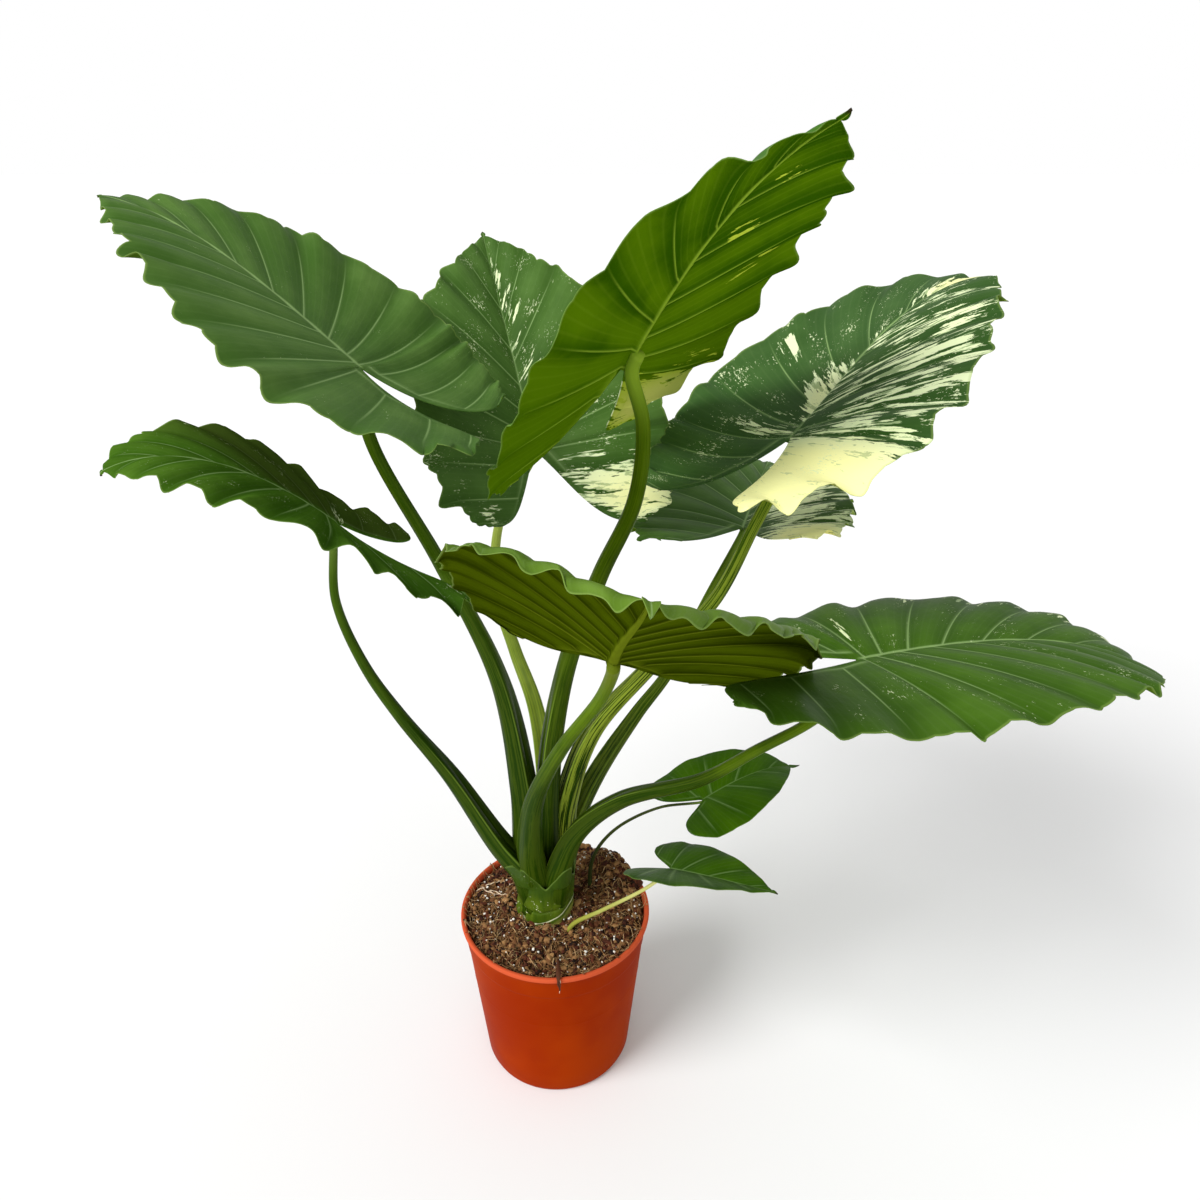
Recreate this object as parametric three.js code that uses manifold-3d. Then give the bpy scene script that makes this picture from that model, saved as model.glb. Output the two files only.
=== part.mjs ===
import * as THREE from 'three';
import { mergeVertices } from 'three/addons/utils/BufferGeometryUtils.js';
import Module from 'manifold-3d';

// A variegated alocasia odora in a 21 cm nursery pot. Millimetres, +Z up, +X to the right of the
// plant's front, +Y to its back. The origin is the middle of the pot's underside.

const wasm = await Module();
wasm.setup();

// Driving dimensions of the pot
const rimRadius = 105;
const potHeight = 198;
const baseRadius = 83;
const wall = 2;
const lipHeight = 14;
const lipOverhang = 3;
const floorLift = 4;
const floorThickness = 2;
const footPadRadius = 14;
const footRingWidth = 6;
const drainHoleRadius = 6;
const drainHoleCircle = 50;
const drainHoleCount = 8;
const drainHoleSides = 10;
const drainHoleCut = 20;
const potSides = 36;

// Driving dimensions of the soil and the short stem
const clearance = 0.3;
const soilEdgeHeight = 189;
const soilMound = 8;
const heapHeight = 30;
const heapCenter = [50, 48];
const heapSpread = 30;
const heapShareAtEdge = 0.2;
const soilRings = 7;
const soilSides = 32;
const chipHeight = 4;
const stemRadius = 33;
const stemFoot = 150;
const stemTop = 260;
const stemSides = 20;
const stemCenter = new THREE.Vector3(-11, 2, 0);

// Driving dimensions that all leaves share
const bladeThickness = 1.2;
const ribStep = 0.06;
const acrossSteps = [0, ribStep, 0.4, 0.75, 1];
const smallAcrossSteps = [0, ribStep, 0.5, 1];
const bigLeafRows = 36;
const smallLeafRows = 12;
const sinusRow = 0.68;
const widestRow = 1.05;
const rowCrowding = 1.15;
const veinSag = 0.1;
const lobeTipSpread = 0.3;
const dripTip = 12;
const smallDripTip = 7;
const slowWaves = 2.3;
const slowWaveShare = 0.6;
const ribShareAtStalk = 0.75;
const ribShareAtApex = 0.15;
const stalkSides = 10;
const smallStalkSides = 6;
const stalkRings = 13;
const smallStalkRings = 9;
const degree = Math.PI / 180;

const color = {
  pot: 0xb5501f,
  soil: 0x4a2f1f,
  stem: 0x5d8a2e,
  youngStalk: 0x6f8f2a,
  stalk: 0x2f5f1c,
  paleStalk: 0xa9b45c,
  greenBlade: 0x3f7a2c,
  youngBlade: 0x55861a,
  creamBlade: 0x8fa565,
};

// Each leaf: at is where the stalk meets the blade, azimuth and elevation point from there to the
// apex, roll turns the blade about its midrib. arch and tipBend curve the midrib down, lobeBend
// turns the basal lobes down, fold lifts each half at the midrib and droop bends it down again
// towards the margin (left, right as seen from the stalk). length runs from the stalk to the
// apex, lobes from the stalk back to the lobe tips. route lists the stalk's way down to the stem
// and radii its radius at the top, in the middle and at the foot.
const leaves = [
  {
    name: 'tall_middle', blade: 'youngBlade', stalk: 'youngStalk',
    at: [71, 22, 795], azimuth: -52, elevation: 53, roll: 14,
    arch: 11, tipBend: 18, lobeBend: -16, twist: -11,
    fold: [-16, -4], droop: [-18, -6],
    length: 276, width: 292, lobes: 142, waves: 9, waveHeight: 5, phase: 0.8,
    route: [
      [88, 21, 742], [82, 18, 672], [50, 16, 597], [18, 13, 506],
      [1, 10, 423], [-7, 8, 337], [-10, 8, 246],
    ],
    radii: [6.5, 13, 17],
  },
  {
    name: 'upper_left', blade: 'greenBlade', stalk: 'stalk',
    at: [-161, 30, 791], azimuth: 160, elevation: 37, roll: 37,
    arch: 2, tipBend: 28, lobeBend: -33, twist: -9,
    fold: [-23, 26], droop: [5, -31],
    length: 275, width: 313, lobes: 128, waves: 9, waveHeight: 5, phase: 1.6,
    route: [
      [-156, 30, 719], [-105, 34, 603], [-51, 20, 479], [-30, 6, 356],
      [-26, 4, 285], [-24, 4, 246],
    ],
    radii: [6.5, 11, 22],
  },
  {
    name: 'upper_right', blade: 'creamBlade', stalk: 'stalk',
    at: [228, 55, 720], azimuth: 42, elevation: 30, roll: -49,
    arch: -7, tipBend: 46, lobeBend: -26, twist: 9,
    fold: [28, -23], droop: [-31, 14],
    length: 303, width: 321, lobes: 122, waves: 9, waveHeight: 5, phase: 0,
    route: [
      [201, 48, 640], [164, 40, 560], [99, 32, 486], [42, 25, 415],
      [13, 18, 330], [6, 14, 246],
    ],
    radii: [6.5, 11, 18],
  },
  {
    name: 'back', blade: 'creamBlade', stalk: 'paleStalk',
    at: [-21, 195, 665], azimuth: 108, elevation: 45, roll: 5,
    arch: 9, tipBend: -9, lobeBend: 2, twist: -14,
    fold: [30, 34], droop: [11, 24],
    length: 296, width: 300, lobes: 104, waves: 9, waveHeight: 4, phase: 0,
    route: [
      [-59, 162, 597], [-63, 130, 527], [-43, 103, 468], [-20, 76, 408],
      [-7, 39, 314], [-8, 21, 246],
    ],
    radii: [5, 8, 16],
  },
  {
    name: 'low_back', blade: 'creamBlade', stalk: 'stalk',
    at: [214, 209, 569], azimuth: 75, elevation: -1, roll: -1,
    arch: -3, tipBend: 9, lobeBend: -10, twist: 6,
    fold: [16, 23], droop: [18, 18],
    length: 283, width: 249, lobes: 110, waves: 9, waveHeight: 4, phase: 1.6,
    route: [
      [178, 176, 506], [129, 130, 426], [91, 103, 385], [45, 66, 327],
      [20, 36, 285], [10, 22, 246],
    ],
    radii: [4.5, 8, 14],
  },
  {
    name: 'front', blade: 'youngBlade', stalk: 'youngStalk',
    at: [60, -149, 595], azimuth: -87, elevation: 39, roll: -3,
    arch: 16, tipBend: -14, lobeBend: -9, twist: 0,
    fold: [10, 30], droop: [18, 15],
    length: 326, width: 318, lobes: 134, waves: 9, waveHeight: 6, phase: 0.8,
    route: [
      [50, -128, 548], [14, -94, 473], [-13, -61, 393], [-22, -30, 308],
      [-20, -10, 262], [-18, -4, 246],
    ],
    radii: [6.5, 12, 17],
  },
  {
    name: 'low_right', blade: 'greenBlade', stalk: 'youngStalk',
    at: [262, -136, 591], azimuth: 18, elevation: 2, roll: -8,
    arch: 17, tipBend: 19, lobeBend: -13, twist: 11,
    fold: [8, 9], droop: [26, 16],
    length: 318, width: 292, lobes: 156, waves: 9, waveHeight: 6, phase: 0,
    route: [
      [239, -114, 523], [192, -90, 470], [146, -69, 422], [71, -41, 377],
      [26, -26, 326], [7, -18, 274], [2, -13, 240],
    ],
    radii: [6, 12, 20],
  },
  {
    name: 'low_left', blade: 'greenBlade', stalk: 'stalk',
    at: [-198, 24, 648], azimuth: 208, elevation: 46, roll: 5,
    arch: 24, tipBend: 42, lobeBend: -22, twist: -3,
    fold: [-5, 11], droop: [-4, 5],
    length: 217, width: 265, lobes: 113, waves: 9, waveHeight: 5, phase: 0,
    route: [
      [-206, 20, 568], [-184, 14, 499], [-153, 8, 445], [-105, 2, 375],
      [-57, -9, 294], [-33, -13, 262], [-26, -11, 240],
    ],
    radii: [4.5, 9, 18],
  },
  {
    name: 'small_upper', blade: 'greenBlade', stalk: 'stalk', small: true,
    at: [160, 8, 339], azimuth: 32, elevation: 13, roll: 2,
    arch: 24, tipBend: 14, lobeBend: -16, twist: 8,
    fold: [17, 13], droop: [27, 21],
    length: 125, width: 112, lobes: 45, waves: 3, waveHeight: 0.6, phase: 0,
    route: [[115, 14, 324], [73, 20, 295], [50, 24, 264], [40, 26, 235], [38, 27, 190]],
    radii: [1.8, 2.2, 3.5],
  },
  {
    name: 'small_lower', blade: 'greenBlade', stalk: 'paleStalk', small: true,
    at: [122, -56, 301], azimuth: -36, elevation: 18, roll: -2,
    arch: 8, tipBend: -5, lobeBend: 3, twist: 0,
    fold: [14, 21], droop: [19, 6],
    length: 115, width: 92, lobes: 35, waves: 3, waveHeight: 0.5, phase: 1,
    route: [[93, -49, 265], [51, -44, 233], [20, -37, 206], [11, -34, 180]],
    radii: [2.4, 2.6, 3.5],
  },
];

const plant = new THREE.Group();

function material(hex, roughness) {
  return new THREE.MeshStandardMaterial({ color: hex, roughness, metalness: 0 });
}

function addMesh(name, geometry, hex, roughness) {
  const mesh = new THREE.Mesh(geometry, material(hex, roughness));
  mesh.name = name;
  plant.add(mesh);
}

// Solids and geometries

function solidFrom(geometry) {
  const bare = geometry.clone();
  bare.deleteAttribute('normal');
  bare.deleteAttribute('uv');
  const merged = mergeVertices(bare, 1e-4);
  return new wasm.Manifold(new wasm.Mesh({
    numProp: 3,
    vertProperties: Float32Array.from(merged.attributes.position.array),
    triVerts: Uint32Array.from(merged.index.array),
  }));
}

function geometryFrom(solid) {
  const mesh = solid.getMesh();
  const geometry = new THREE.BufferGeometry();
  geometry.setAttribute('position', new THREE.BufferAttribute(mesh.vertProperties, 3));
  geometry.setIndex(new THREE.BufferAttribute(mesh.triVerts, 1));
  geometry.computeVertexNormals();
  return geometry;
}

// What a cut leaves in one piece: scraps that it parts from the body are dropped
function largestPiece(solid) {
  const pieces = solid.decompose();
  return pieces.reduce((best, piece) => (piece.volume() > best.volume() ? piece : best));
}

function indexedGeometry(points, triangles) {
  const geometry = new THREE.BufferGeometry();
  const numbers = points.flatMap((point) => [point.x, point.y, point.z]);
  geometry.setAttribute('position', new THREE.Float32BufferAttribute(numbers, 3));
  geometry.setIndex(triangles.flat());
  return geometry;
}

// Leaf blade: outline in the flat leaf, s along the midrib and t away from it

function cubic(points, f) {
  const g = 1 - f;
  const weights = [g ** 3, 3 * g * g * f, 3 * g * f * f, f ** 3];
  return [0, 1].map((axis) => points.reduce((sum, point, i) => sum + weights[i] * point[axis], 0));
}

// The margin from the apex (0) round the widest place (1) to the lobe's tip (2)
function outerMargin(leaf, m) {
  const half = leaf.width / 2;
  const { length, lobes } = leaf;
  if (m <= 1) {
    const front = [[length, 2], [0.82 * length, 0.3 * half], [0.45 * length, half], [0.02 * length, half]];
    return cubic(front, m);
  }
  const lobeTip = [-lobes, lobeTipSpread * leaf.width];
  const back = [[0.02 * length, half], [-0.42 * lobes, half], [-lobes, 0.96 * half], lobeTip];
  return cubic(back, m - 1);
}

// The lobe's inner edge from the stalk (0) to the lobe's tip (1)
function sinusMargin(leaf, m) {
  const { width, lobes } = leaf;
  const lobeTip = [-lobes, lobeTipSpread * width];
  return cubic([[0, 0], [-0.45 * lobes, 0.1 * width], [-lobes, 0.16 * width], lobeTip], m);
}

// A place in one half of the flat leaf: row runs 0 to 1 from the apex to the lobe's tip, across
// runs 0 to 1 from the midrib or sinus to the margin, sweeping forward like a side vein
function flatPlace(leaf, row, across) {
  const alongMidrib = row <= sinusRow;
  const f = alongMidrib ? row / sinusRow : (row - sinusRow) / (1 - sinusRow);
  const inner = alongMidrib ? [leaf.length * (1 - f), 0] : sinusMargin(leaf, f);
  const m = alongMidrib ? widestRow * f ** rowCrowding : widestRow + (2 - widestRow) * f;
  const outer = outerMargin(leaf, m);
  const sag = veinSag * Math.hypot(outer[0] - inner[0], outer[1] - inner[1]);
  const middle = [(inner[0] + outer[0]) / 2 - sag, (inner[1] + outer[1]) / 2];
  const weights = [(1 - across) ** 2, 2 * (1 - across) * across, across ** 2];
  return [0, 1].map((axis) => (
    weights[0] * inner[axis] + weights[1] * middle[axis] + weights[2] * outer[axis]));
}

function apexReach(leaf) {
  return leaf.length + (leaf.small ? smallDripTip : dripTip);
}

// The bent midrib as a list of { s, along, up, angle }, from summing short steps of its slope
function bentMidrib(leaf) {
  const steps = 60;
  const slope = (s) => (s > 0
    ? -(leaf.arch * (s / leaf.length) + leaf.tipBend * (s / leaf.length) ** 3) * degree
    : -leaf.lobeBend * (s / leaf.lobes) * degree);
  const walk = (reach) => {
    const places = [{ s: 0, along: 0, up: 0, angle: slope(0) }];
    for (let i = 1; i <= steps; i++) {
      const s = (reach * i) / steps;
      const last = places[i - 1];
      const angle = slope(s);
      const middle = (angle + last.angle) / 2;
      const step = s - last.s;
      const along = last.along + step * Math.cos(middle);
      const up = last.up + step * Math.sin(middle);
      places.push({ s, along, up, angle });
    }
    return places;
  };
  const backward = walk(-1.1 * leaf.lobes).slice(1).reverse();
  return [...backward, ...walk(apexReach(leaf))];
}

function lookUp(places, s) {
  const last = places.length - 1;
  const clamped = Math.min(Math.max(s, places[0].s), places[last].s);
  let i = 0;
  while (i < last - 1 && places[i + 1].s < clamped) i++;
  const f = (clamped - places[i].s) / (places[i + 1].s - places[i].s);
  const mix = (key) => places[i][key] + f * (places[i + 1][key] - places[i][key]);
  return { along: mix('along'), up: mix('up'), angle: mix('angle') };
}

function leafFrame(leaf) {
  const azimuth = leaf.azimuth * degree;
  const elevation = leaf.elevation * degree;
  const roll = leaf.roll * degree;
  const forward = new THREE.Vector3(
    Math.cos(azimuth) * Math.cos(elevation), Math.sin(azimuth) * Math.cos(elevation), Math.sin(elevation));
  const level = new THREE.Vector3(-Math.sin(azimuth), Math.cos(azimuth), 0);
  const lift = new THREE.Vector3().crossVectors(forward, level);
  const left = level.clone().multiplyScalar(Math.cos(roll)).addScaledVector(lift, Math.sin(roll));
  const up = lift.clone().multiplyScalar(Math.cos(roll)).addScaledVector(level, -Math.sin(roll));
  return { origin: new THREE.Vector3(...leaf.at), forward, left, up, midrib: bentMidrib(leaf) };
}

// Bends a flat place (s, t) of one half (side +1 left, -1 right) into space: the midrib's curve
// carries it along, each half is an arc that starts at its fold and turns down by its droop
function bentPlace(leaf, frame, s, t, side) {
  const { forward, left, up } = frame;
  const spine = lookUp(frame.midrib, s);
  const spineUp = up.clone().multiplyScalar(Math.cos(spine.angle))
    .addScaledVector(forward, -Math.sin(spine.angle));
  const twist = leaf.twist * degree * THREE.MathUtils.clamp(s / leaf.length, -0.5, 1.1);
  const across = left.clone().multiplyScalar(Math.cos(twist)).addScaledVector(spineUp, Math.sin(twist));
  const normal = spineUp.clone().multiplyScalar(Math.cos(twist)).addScaledVector(left, -Math.sin(twist));
  const half = side > 0 ? 0 : 1;
  const fold = leaf.fold[half] * degree;
  const curvature = (leaf.droop[half] * degree || 1e-6) / (leaf.width / 2);
  const out = (Math.sin(fold) - Math.sin(fold - curvature * t)) / curvature;
  const rise = (Math.cos(fold - curvature * t) - Math.cos(fold)) / curvature;
  return frame.origin.clone()
    .addScaledVector(forward, spine.along)
    .addScaledVector(up, spine.up)
    .addScaledVector(across, side * out)
    .addScaledVector(normal, rise);
}

// The waved margin: one swing for each side vein, growing towards the edge, over a slower one
function waveAt(leaf, row, across, side) {
  const quick = Math.sin(2 * Math.PI * leaf.waves * row + leaf.phase + side);
  const slow = Math.sin(2 * Math.PI * slowWaves * row + 2 * leaf.phase - side);
  const fade = Math.min(1, 8 * row, 8 * (1 - row));
  return leaf.waveHeight * fade * across ** 2 * (quick * across + slowWaveShare * slow);
}

// How far the midrib stands out below the blade
function ribDepth(leaf, s) {
  const f = THREE.MathUtils.clamp(s / leaf.length, 0, 1);
  return leaf.radii[0] * THREE.MathUtils.lerp(ribShareAtStalk, ribShareAtApex, f);
}

function averageNormals(points, triangles) {
  const normals = points.map(() => new THREE.Vector3());
  for (const [a, b, c] of triangles) {
    const ab = points[b].clone().sub(points[a]);
    const ac = points[c].clone().sub(points[a]);
    const area = ab.cross(ac);
    [a, b, c].forEach((i) => normals[i].add(area));
  }
  return normals.map((normal) => normal.normalize());
}

// The blade's middle sheet: two halves that share the midrib, split alike above and below
function bladeSheet(leaf) {
  const frame = leafFrame(leaf);
  const rows = leaf.small ? smallLeafRows : bigLeafRows;
  const steps = leaf.small ? smallAcrossSteps : acrossSteps;
  const columns = steps.length - 1;
  const points = [];
  const depths = [];
  const places = new Map();
  const lastMidribRow = Math.floor(sinusRow * rows);
  const vertex = (row, column, side) => {
    const shared = row === 0 || (column === 0 && row <= lastMidribRow);
    const edge = row === 0 || row === rows ? 0 : column;
    const key = `${row}:${edge}:${shared ? 0 : side}`;
    if (places.has(key)) return places.get(key);
    const across = steps[edge];
    const rowPlace = row === lastMidribRow ? sinusRow : row / rows;
    const [s, t] = row === 0 ? [apexReach(leaf), 0] : flatPlace(leaf, rowPlace, across);
    const point = bentPlace(leaf, frame, s, t, side);
    const half = bentPlace(leaf, frame, s, t + 1, side).sub(point);
    const ahead = bentPlace(leaf, frame, s + 1, t, side).sub(point);
    const normal = ahead.cross(half).multiplyScalar(side).normalize();
    point.addScaledVector(normal, row === 0 ? 0 : waveAt(leaf, rowPlace, across, side));
    places.set(key, points.length);
    points.push(point);
    depths.push(shared && row > 0 ? ribDepth(leaf, s) : 0);
    return points.length - 1;
  };
  const triangles = [];
  for (const side of [1, -1]) {
    for (let row = 0; row < rows; row++) {
      for (let column = 0; column < columns; column++) {
        const corners = [
          vertex(row, column, side), vertex(row, column + 1, side),
          vertex(row + 1, column + 1, side), vertex(row + 1, column, side),
        ];
        const [a, b, c, d] = side > 0 ? corners : [corners[0], corners[3], corners[2], corners[1]];
        if (a !== b && b !== c && a !== c) triangles.push([a, b, c]);
        if (a !== c && c !== d && a !== d) triangles.push([a, c, d]);
      }
    }
  }
  return { points, triangles, depths };
}

// Gives a sheet its thickness: offset up and down along its averaged normals, edges closed
function thickened(sheet, above, below) {
  const { points, triangles, depths } = sheet;
  const normals = averageNormals(points, triangles);
  const count = points.length;
  const top = points.map((point, i) => point.clone().addScaledVector(normals[i], above));
  const bottom = points.map((point, i) => point.clone().addScaledVector(normals[i], -below - depths[i]));
  const faces = [
    ...triangles,
    ...triangles.map(([a, b, c]) => [a + count, c + count, b + count]),
  ];
  const edges = new Set(triangles.flatMap(([a, b, c]) => [`${a}:${b}`, `${b}:${c}`, `${c}:${a}`]));
  for (const edge of edges) {
    const [a, b] = edge.split(':').map(Number);
    if (!edges.has(`${b}:${a}`)) faces.push([a, a + count, b + count], [a, b + count, b]);
  }
  return indexedGeometry([...top, ...bottom], faces);
}

// Leaf stalk: a round tube whose radius passes its three given values along the route

function radiusAlong(radii, f) {
  const [top, middle, foot] = radii;
  return top * (1 - f) * (1 - 2 * f) + 4 * middle * f * (1 - f) + foot * f * (2 * f - 1);
}

// The stalk's last two places: it meets the blade from below and runs on a little under the rib
function stalkEnd(leaf) {
  const frame = leafFrame(leaf);
  const under = (ahead, sink) => frame.origin.clone()
    .addScaledVector(frame.forward, ahead * leaf.radii[0])
    .addScaledVector(frame.up, -ribDepth(leaf, 0) - bladeThickness / 2 - sink * leaf.radii[0]);
  return [under(3, 0.1), under(0, 0.6)];
}

// extra makes a fatter, longer copy, to cut a clear space with
function stalkGeometry(leaf, extra) {
  const route = [...stalkEnd(leaf), ...leaf.route.map((place) => new THREE.Vector3(...place))];
  const curve = new THREE.CatmullRomCurve3(route, false, 'centripetal');
  const rings = leaf.small ? smallStalkRings : stalkRings;
  const sides = leaf.small ? smallStalkSides : stalkSides;
  const frames = curve.computeFrenetFrames(rings, false);
  const points = [];
  for (let ring = 0; ring <= rings; ring++) {
    const f = ring / rings;
    const center = curve.getPointAt(f);
    if (ring === 0) center.addScaledVector(frames.tangents[ring], -extra);
    if (ring === rings) center.addScaledVector(frames.tangents[ring], extra);
    const radius = radiusAlong(leaf.radii, f) + extra;
    for (let side = 0; side < sides; side++) {
      const angle = (2 * Math.PI * side) / sides;
      points.push(center.clone()
        .addScaledVector(frames.normals[ring], radius * Math.cos(angle))
        .addScaledVector(frames.binormals[ring], radius * Math.sin(angle)));
    }
  }
  const triangles = [];
  for (let ring = 0; ring < rings; ring++) {
    for (let side = 0; side < sides; side++) {
      const next = (side + 1) % sides;
      const [a, b] = [ring * sides + side, ring * sides + next];
      triangles.push([a, b, b + sides], [a, b + sides, a + sides]);
    }
  }
  const last = rings * sides;
  for (let side = 1; side < sides - 1; side++) {
    triangles.push([0, side + 1, side], [last, last + side, last + side + 1]);
  }
  return indexedGeometry(points, triangles);
}

// Pot: one turned profile with a rolled rim, a lifted floor, a foot ring and a pad in the middle
function potSolid() {
  const slope = (rimRadius - lipOverhang - baseRadius) / potHeight;
  const outer = (z) => baseRadius + slope * z;
  const lipFoot = potHeight - lipHeight;
  const floorTop = floorLift + floorThickness;
  const profile = [
    [0, 0], [footPadRadius, 0], [footPadRadius + 2, floorLift],
    [baseRadius - footRingWidth - 2, floorLift], [baseRadius - footRingWidth, 0],
    [baseRadius - 2, 0], [baseRadius, 3],
    [outer(lipFoot - 4), lipFoot - 4], [rimRadius - 1, lipFoot],
    [rimRadius, potHeight - 2], [rimRadius - 1.5, potHeight], [rimRadius - 4, potHeight],
    [rimRadius - lipOverhang - wall - 0.5, potHeight - 2],
    [outer(floorTop) - wall, floorTop], [0, floorTop],
  ].map(([r, z]) => new THREE.Vector2(r, z));
  const turned = new THREE.LatheGeometry(profile, potSides);
  turned.rotateX(Math.PI / 2);
  let pot = solidFrom(turned);
  for (let i = 0; i < drainHoleCount; i++) {
    const hole = new THREE.CylinderGeometry(
      drainHoleRadius, drainHoleRadius, drainHoleCut, drainHoleSides);
    hole.rotateX(Math.PI / 2);
    const angle = (2 * Math.PI * (i + 0.5)) / drainHoleCount;
    hole.translate(drainHoleCircle * Math.cos(angle), drainHoleCircle * Math.sin(angle), floorLift);
    pot = pot.subtract(solidFrom(hole));
  }
  return pot;
}

// A repeatable value between -1 and 1 for a place, for the lumps of the soil
function lumpAt(i, j) {
  const value = Math.sin(i * 12.9898 + j * 78.233) * 43758.5453;
  return 2 * (value - Math.floor(value)) - 1;
}

// Soil: fills the pot, mounded round the stem, with a heap at the back right and a lumpy top
function soilSolid() {
  const slope = (rimRadius - lipOverhang - baseRadius) / potHeight;
  const inside = (z) => baseRadius + slope * z - wall - 3 * clearance;
  const bottom = floorLift + floorThickness + clearance;
  const edge = inside(soilEdgeHeight - 5);
  const points = [new THREE.Vector3(0, 0, soilEdgeHeight + soilMound)];
  for (let ring = 1; ring <= soilRings; ring++) {
    const radius = (edge * ring) / soilRings;
    for (let side = 0; side < soilSides; side++) {
      const angle = (2 * Math.PI * (side + 0.5 * (ring % 2))) / soilSides;
      const x = radius * Math.cos(angle);
      const y = radius * Math.sin(angle);
      const away = Math.hypot(x - heapCenter[0], y - heapCenter[1]);
      const atEdge = ring === soilRings;
      const heap = heapHeight * Math.exp(-((away / heapSpread) ** 2)) * (atEdge ? heapShareAtEdge : 1);
      const mound = soilMound * (1 - (radius / edge) ** 2);
      const lump = atEdge ? 0 : chipHeight * lumpAt(ring, side);
      points.push(new THREE.Vector3(x, y, soilEdgeHeight + mound + heap + lump));
    }
  }
  for (let side = 0; side < soilSides; side++) {
    const angle = (2 * Math.PI * (side + 0.5 * (soilRings % 2))) / soilSides;
    const radius = inside(bottom);
    points.push(new THREE.Vector3(radius * Math.cos(angle), radius * Math.sin(angle), bottom));
  }
  points.push(new THREE.Vector3(0, 0, bottom));
  const triangles = [];
  for (let side = 0; side < soilSides; side++) {
    const next = (side + 1) % soilSides;
    triangles.push([0, 1 + side, 1 + next]);
    for (let ring = 0; ring < soilRings; ring++) {
      const [a, b] = [1 + ring * soilSides + side, 1 + ring * soilSides + next];
      const [c, d] = [a + soilSides, b + soilSides];
      if (ring % 2 === 0 && ring < soilRings - 1) triangles.push([a, c, b], [c, d, b]);
      else triangles.push([a, c, d], [a, d, b]);
    }
    const foot = 1 + soilRings * soilSides;
    triangles.push([points.length - 1, foot + next, foot + side]);
  }
  return solidFrom(indexedGeometry(points, triangles));
}

// Stem: a short stump, ringed by the scars of fallen leaves
function stemGeometry(extra) {
  const profile = [
    [0, stemFoot - extra], [stemRadius - 6 + extra, stemFoot - extra], [stemRadius + extra, 186],
    [stemRadius - 1.5 + extra, 204], [stemRadius + extra, 209], [stemRadius - 2 + extra, 214],
    [stemRadius - 1 + extra, 226], [stemRadius - 4 + extra, 240], [stemRadius - 12 + extra, 252],
    [stemRadius - 22 + extra, stemTop + extra], [0, stemTop + extra],
  ].map(([r, z]) => new THREE.Vector2(r, z));
  const turned = new THREE.LatheGeometry(profile, stemSides);
  turned.rotateX(Math.PI / 2);
  turned.translate(stemCenter.x, stemCenter.y, 0);
  return turned;
}

// Put together: the younger stalk of two keeps its shape, the older one clasps it as a sheath
const stemClear = solidFrom(stemGeometry(2 * clearance));
let soil = soilSolid().subtract(solidFrom(stemGeometry(clearance)));
const clearStalks = [];

for (const leaf of leaves) {
  const sheet = bladeSheet(leaf);
  const half = bladeThickness / 2;
  addMesh(`blade_${leaf.name}`, thickened(sheet, half, half), color[leaf.blade], 0.45);
  const bladeClear = solidFrom(thickened(sheet, half + 2 * clearance, half + 2 * clearance));
  const backward = leafFrame(leaf).forward.multiplyScalar(-2 * clearance);
  let stalk = solidFrom(stalkGeometry(leaf, 0)).subtract(bladeClear);
  stalk = stalk.subtract(bladeClear.translate(backward.toArray()));
  if (leaf.small) {
    soil = soil.subtract(solidFrom(stalkGeometry(leaf, clearance)));
  } else {
    for (const younger of clearStalks) stalk = stalk.subtract(younger);
    stalk = stalk.subtract(stemClear);
    clearStalks.push(solidFrom(stalkGeometry(leaf, clearance)));
  }
  addMesh(`stalk_${leaf.name}`, geometryFrom(largestPiece(stalk)), color[leaf.stalk], 0.5);
}

addMesh('stem', geometryFrom(solidFrom(stemGeometry(0))), color.stem, 0.6);
addMesh('soil', geometryFrom(largestPiece(soil)), color.soil, 0.95);
addMesh('pot', geometryFrom(potSolid()), color.pot, 0.45);

export default plant;
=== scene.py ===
import math
import bmesh
import bpy
import numpy as np
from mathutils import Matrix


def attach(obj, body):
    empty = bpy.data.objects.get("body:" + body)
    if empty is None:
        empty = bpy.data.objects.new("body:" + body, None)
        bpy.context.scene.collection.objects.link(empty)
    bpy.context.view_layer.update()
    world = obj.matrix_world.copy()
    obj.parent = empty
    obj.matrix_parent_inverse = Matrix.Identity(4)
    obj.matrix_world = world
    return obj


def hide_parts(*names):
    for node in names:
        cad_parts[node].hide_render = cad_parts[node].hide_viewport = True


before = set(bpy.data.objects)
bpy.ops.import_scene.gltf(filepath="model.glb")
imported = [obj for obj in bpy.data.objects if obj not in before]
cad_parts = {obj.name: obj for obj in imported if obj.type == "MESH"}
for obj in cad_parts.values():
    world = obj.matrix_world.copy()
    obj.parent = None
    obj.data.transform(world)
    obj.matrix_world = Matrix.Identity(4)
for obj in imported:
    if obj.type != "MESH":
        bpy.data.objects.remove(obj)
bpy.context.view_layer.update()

# Potted variegated alocasia odora. Lengths in the dictionaries are millimetres, angles degrees,
# and meshes are made in metres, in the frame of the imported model.

mm = 0.001
tau = 2 * math.pi
rng = np.random.default_rng(21)


# camera, floor and light

view = {"place": (0.050, -0.808, 0.971), "tiltDown": 25.9, "lens": 28.5, "sensor": 36}


def addCamera():
    # the photo's estimated view, which looks down by the tilt
    data = bpy.data.cameras.new("camera")
    data.lens = view["lens"]
    data.sensor_width = view["sensor"]
    camera = bpy.data.objects.new("camera", data)
    bpy.context.scene.collection.objects.link(camera)
    camera.location = view["place"]
    camera.rotation_euler = (math.radians(90 - view["tiltDown"]), 0, 0)
    bpy.context.scene.camera = camera


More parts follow.
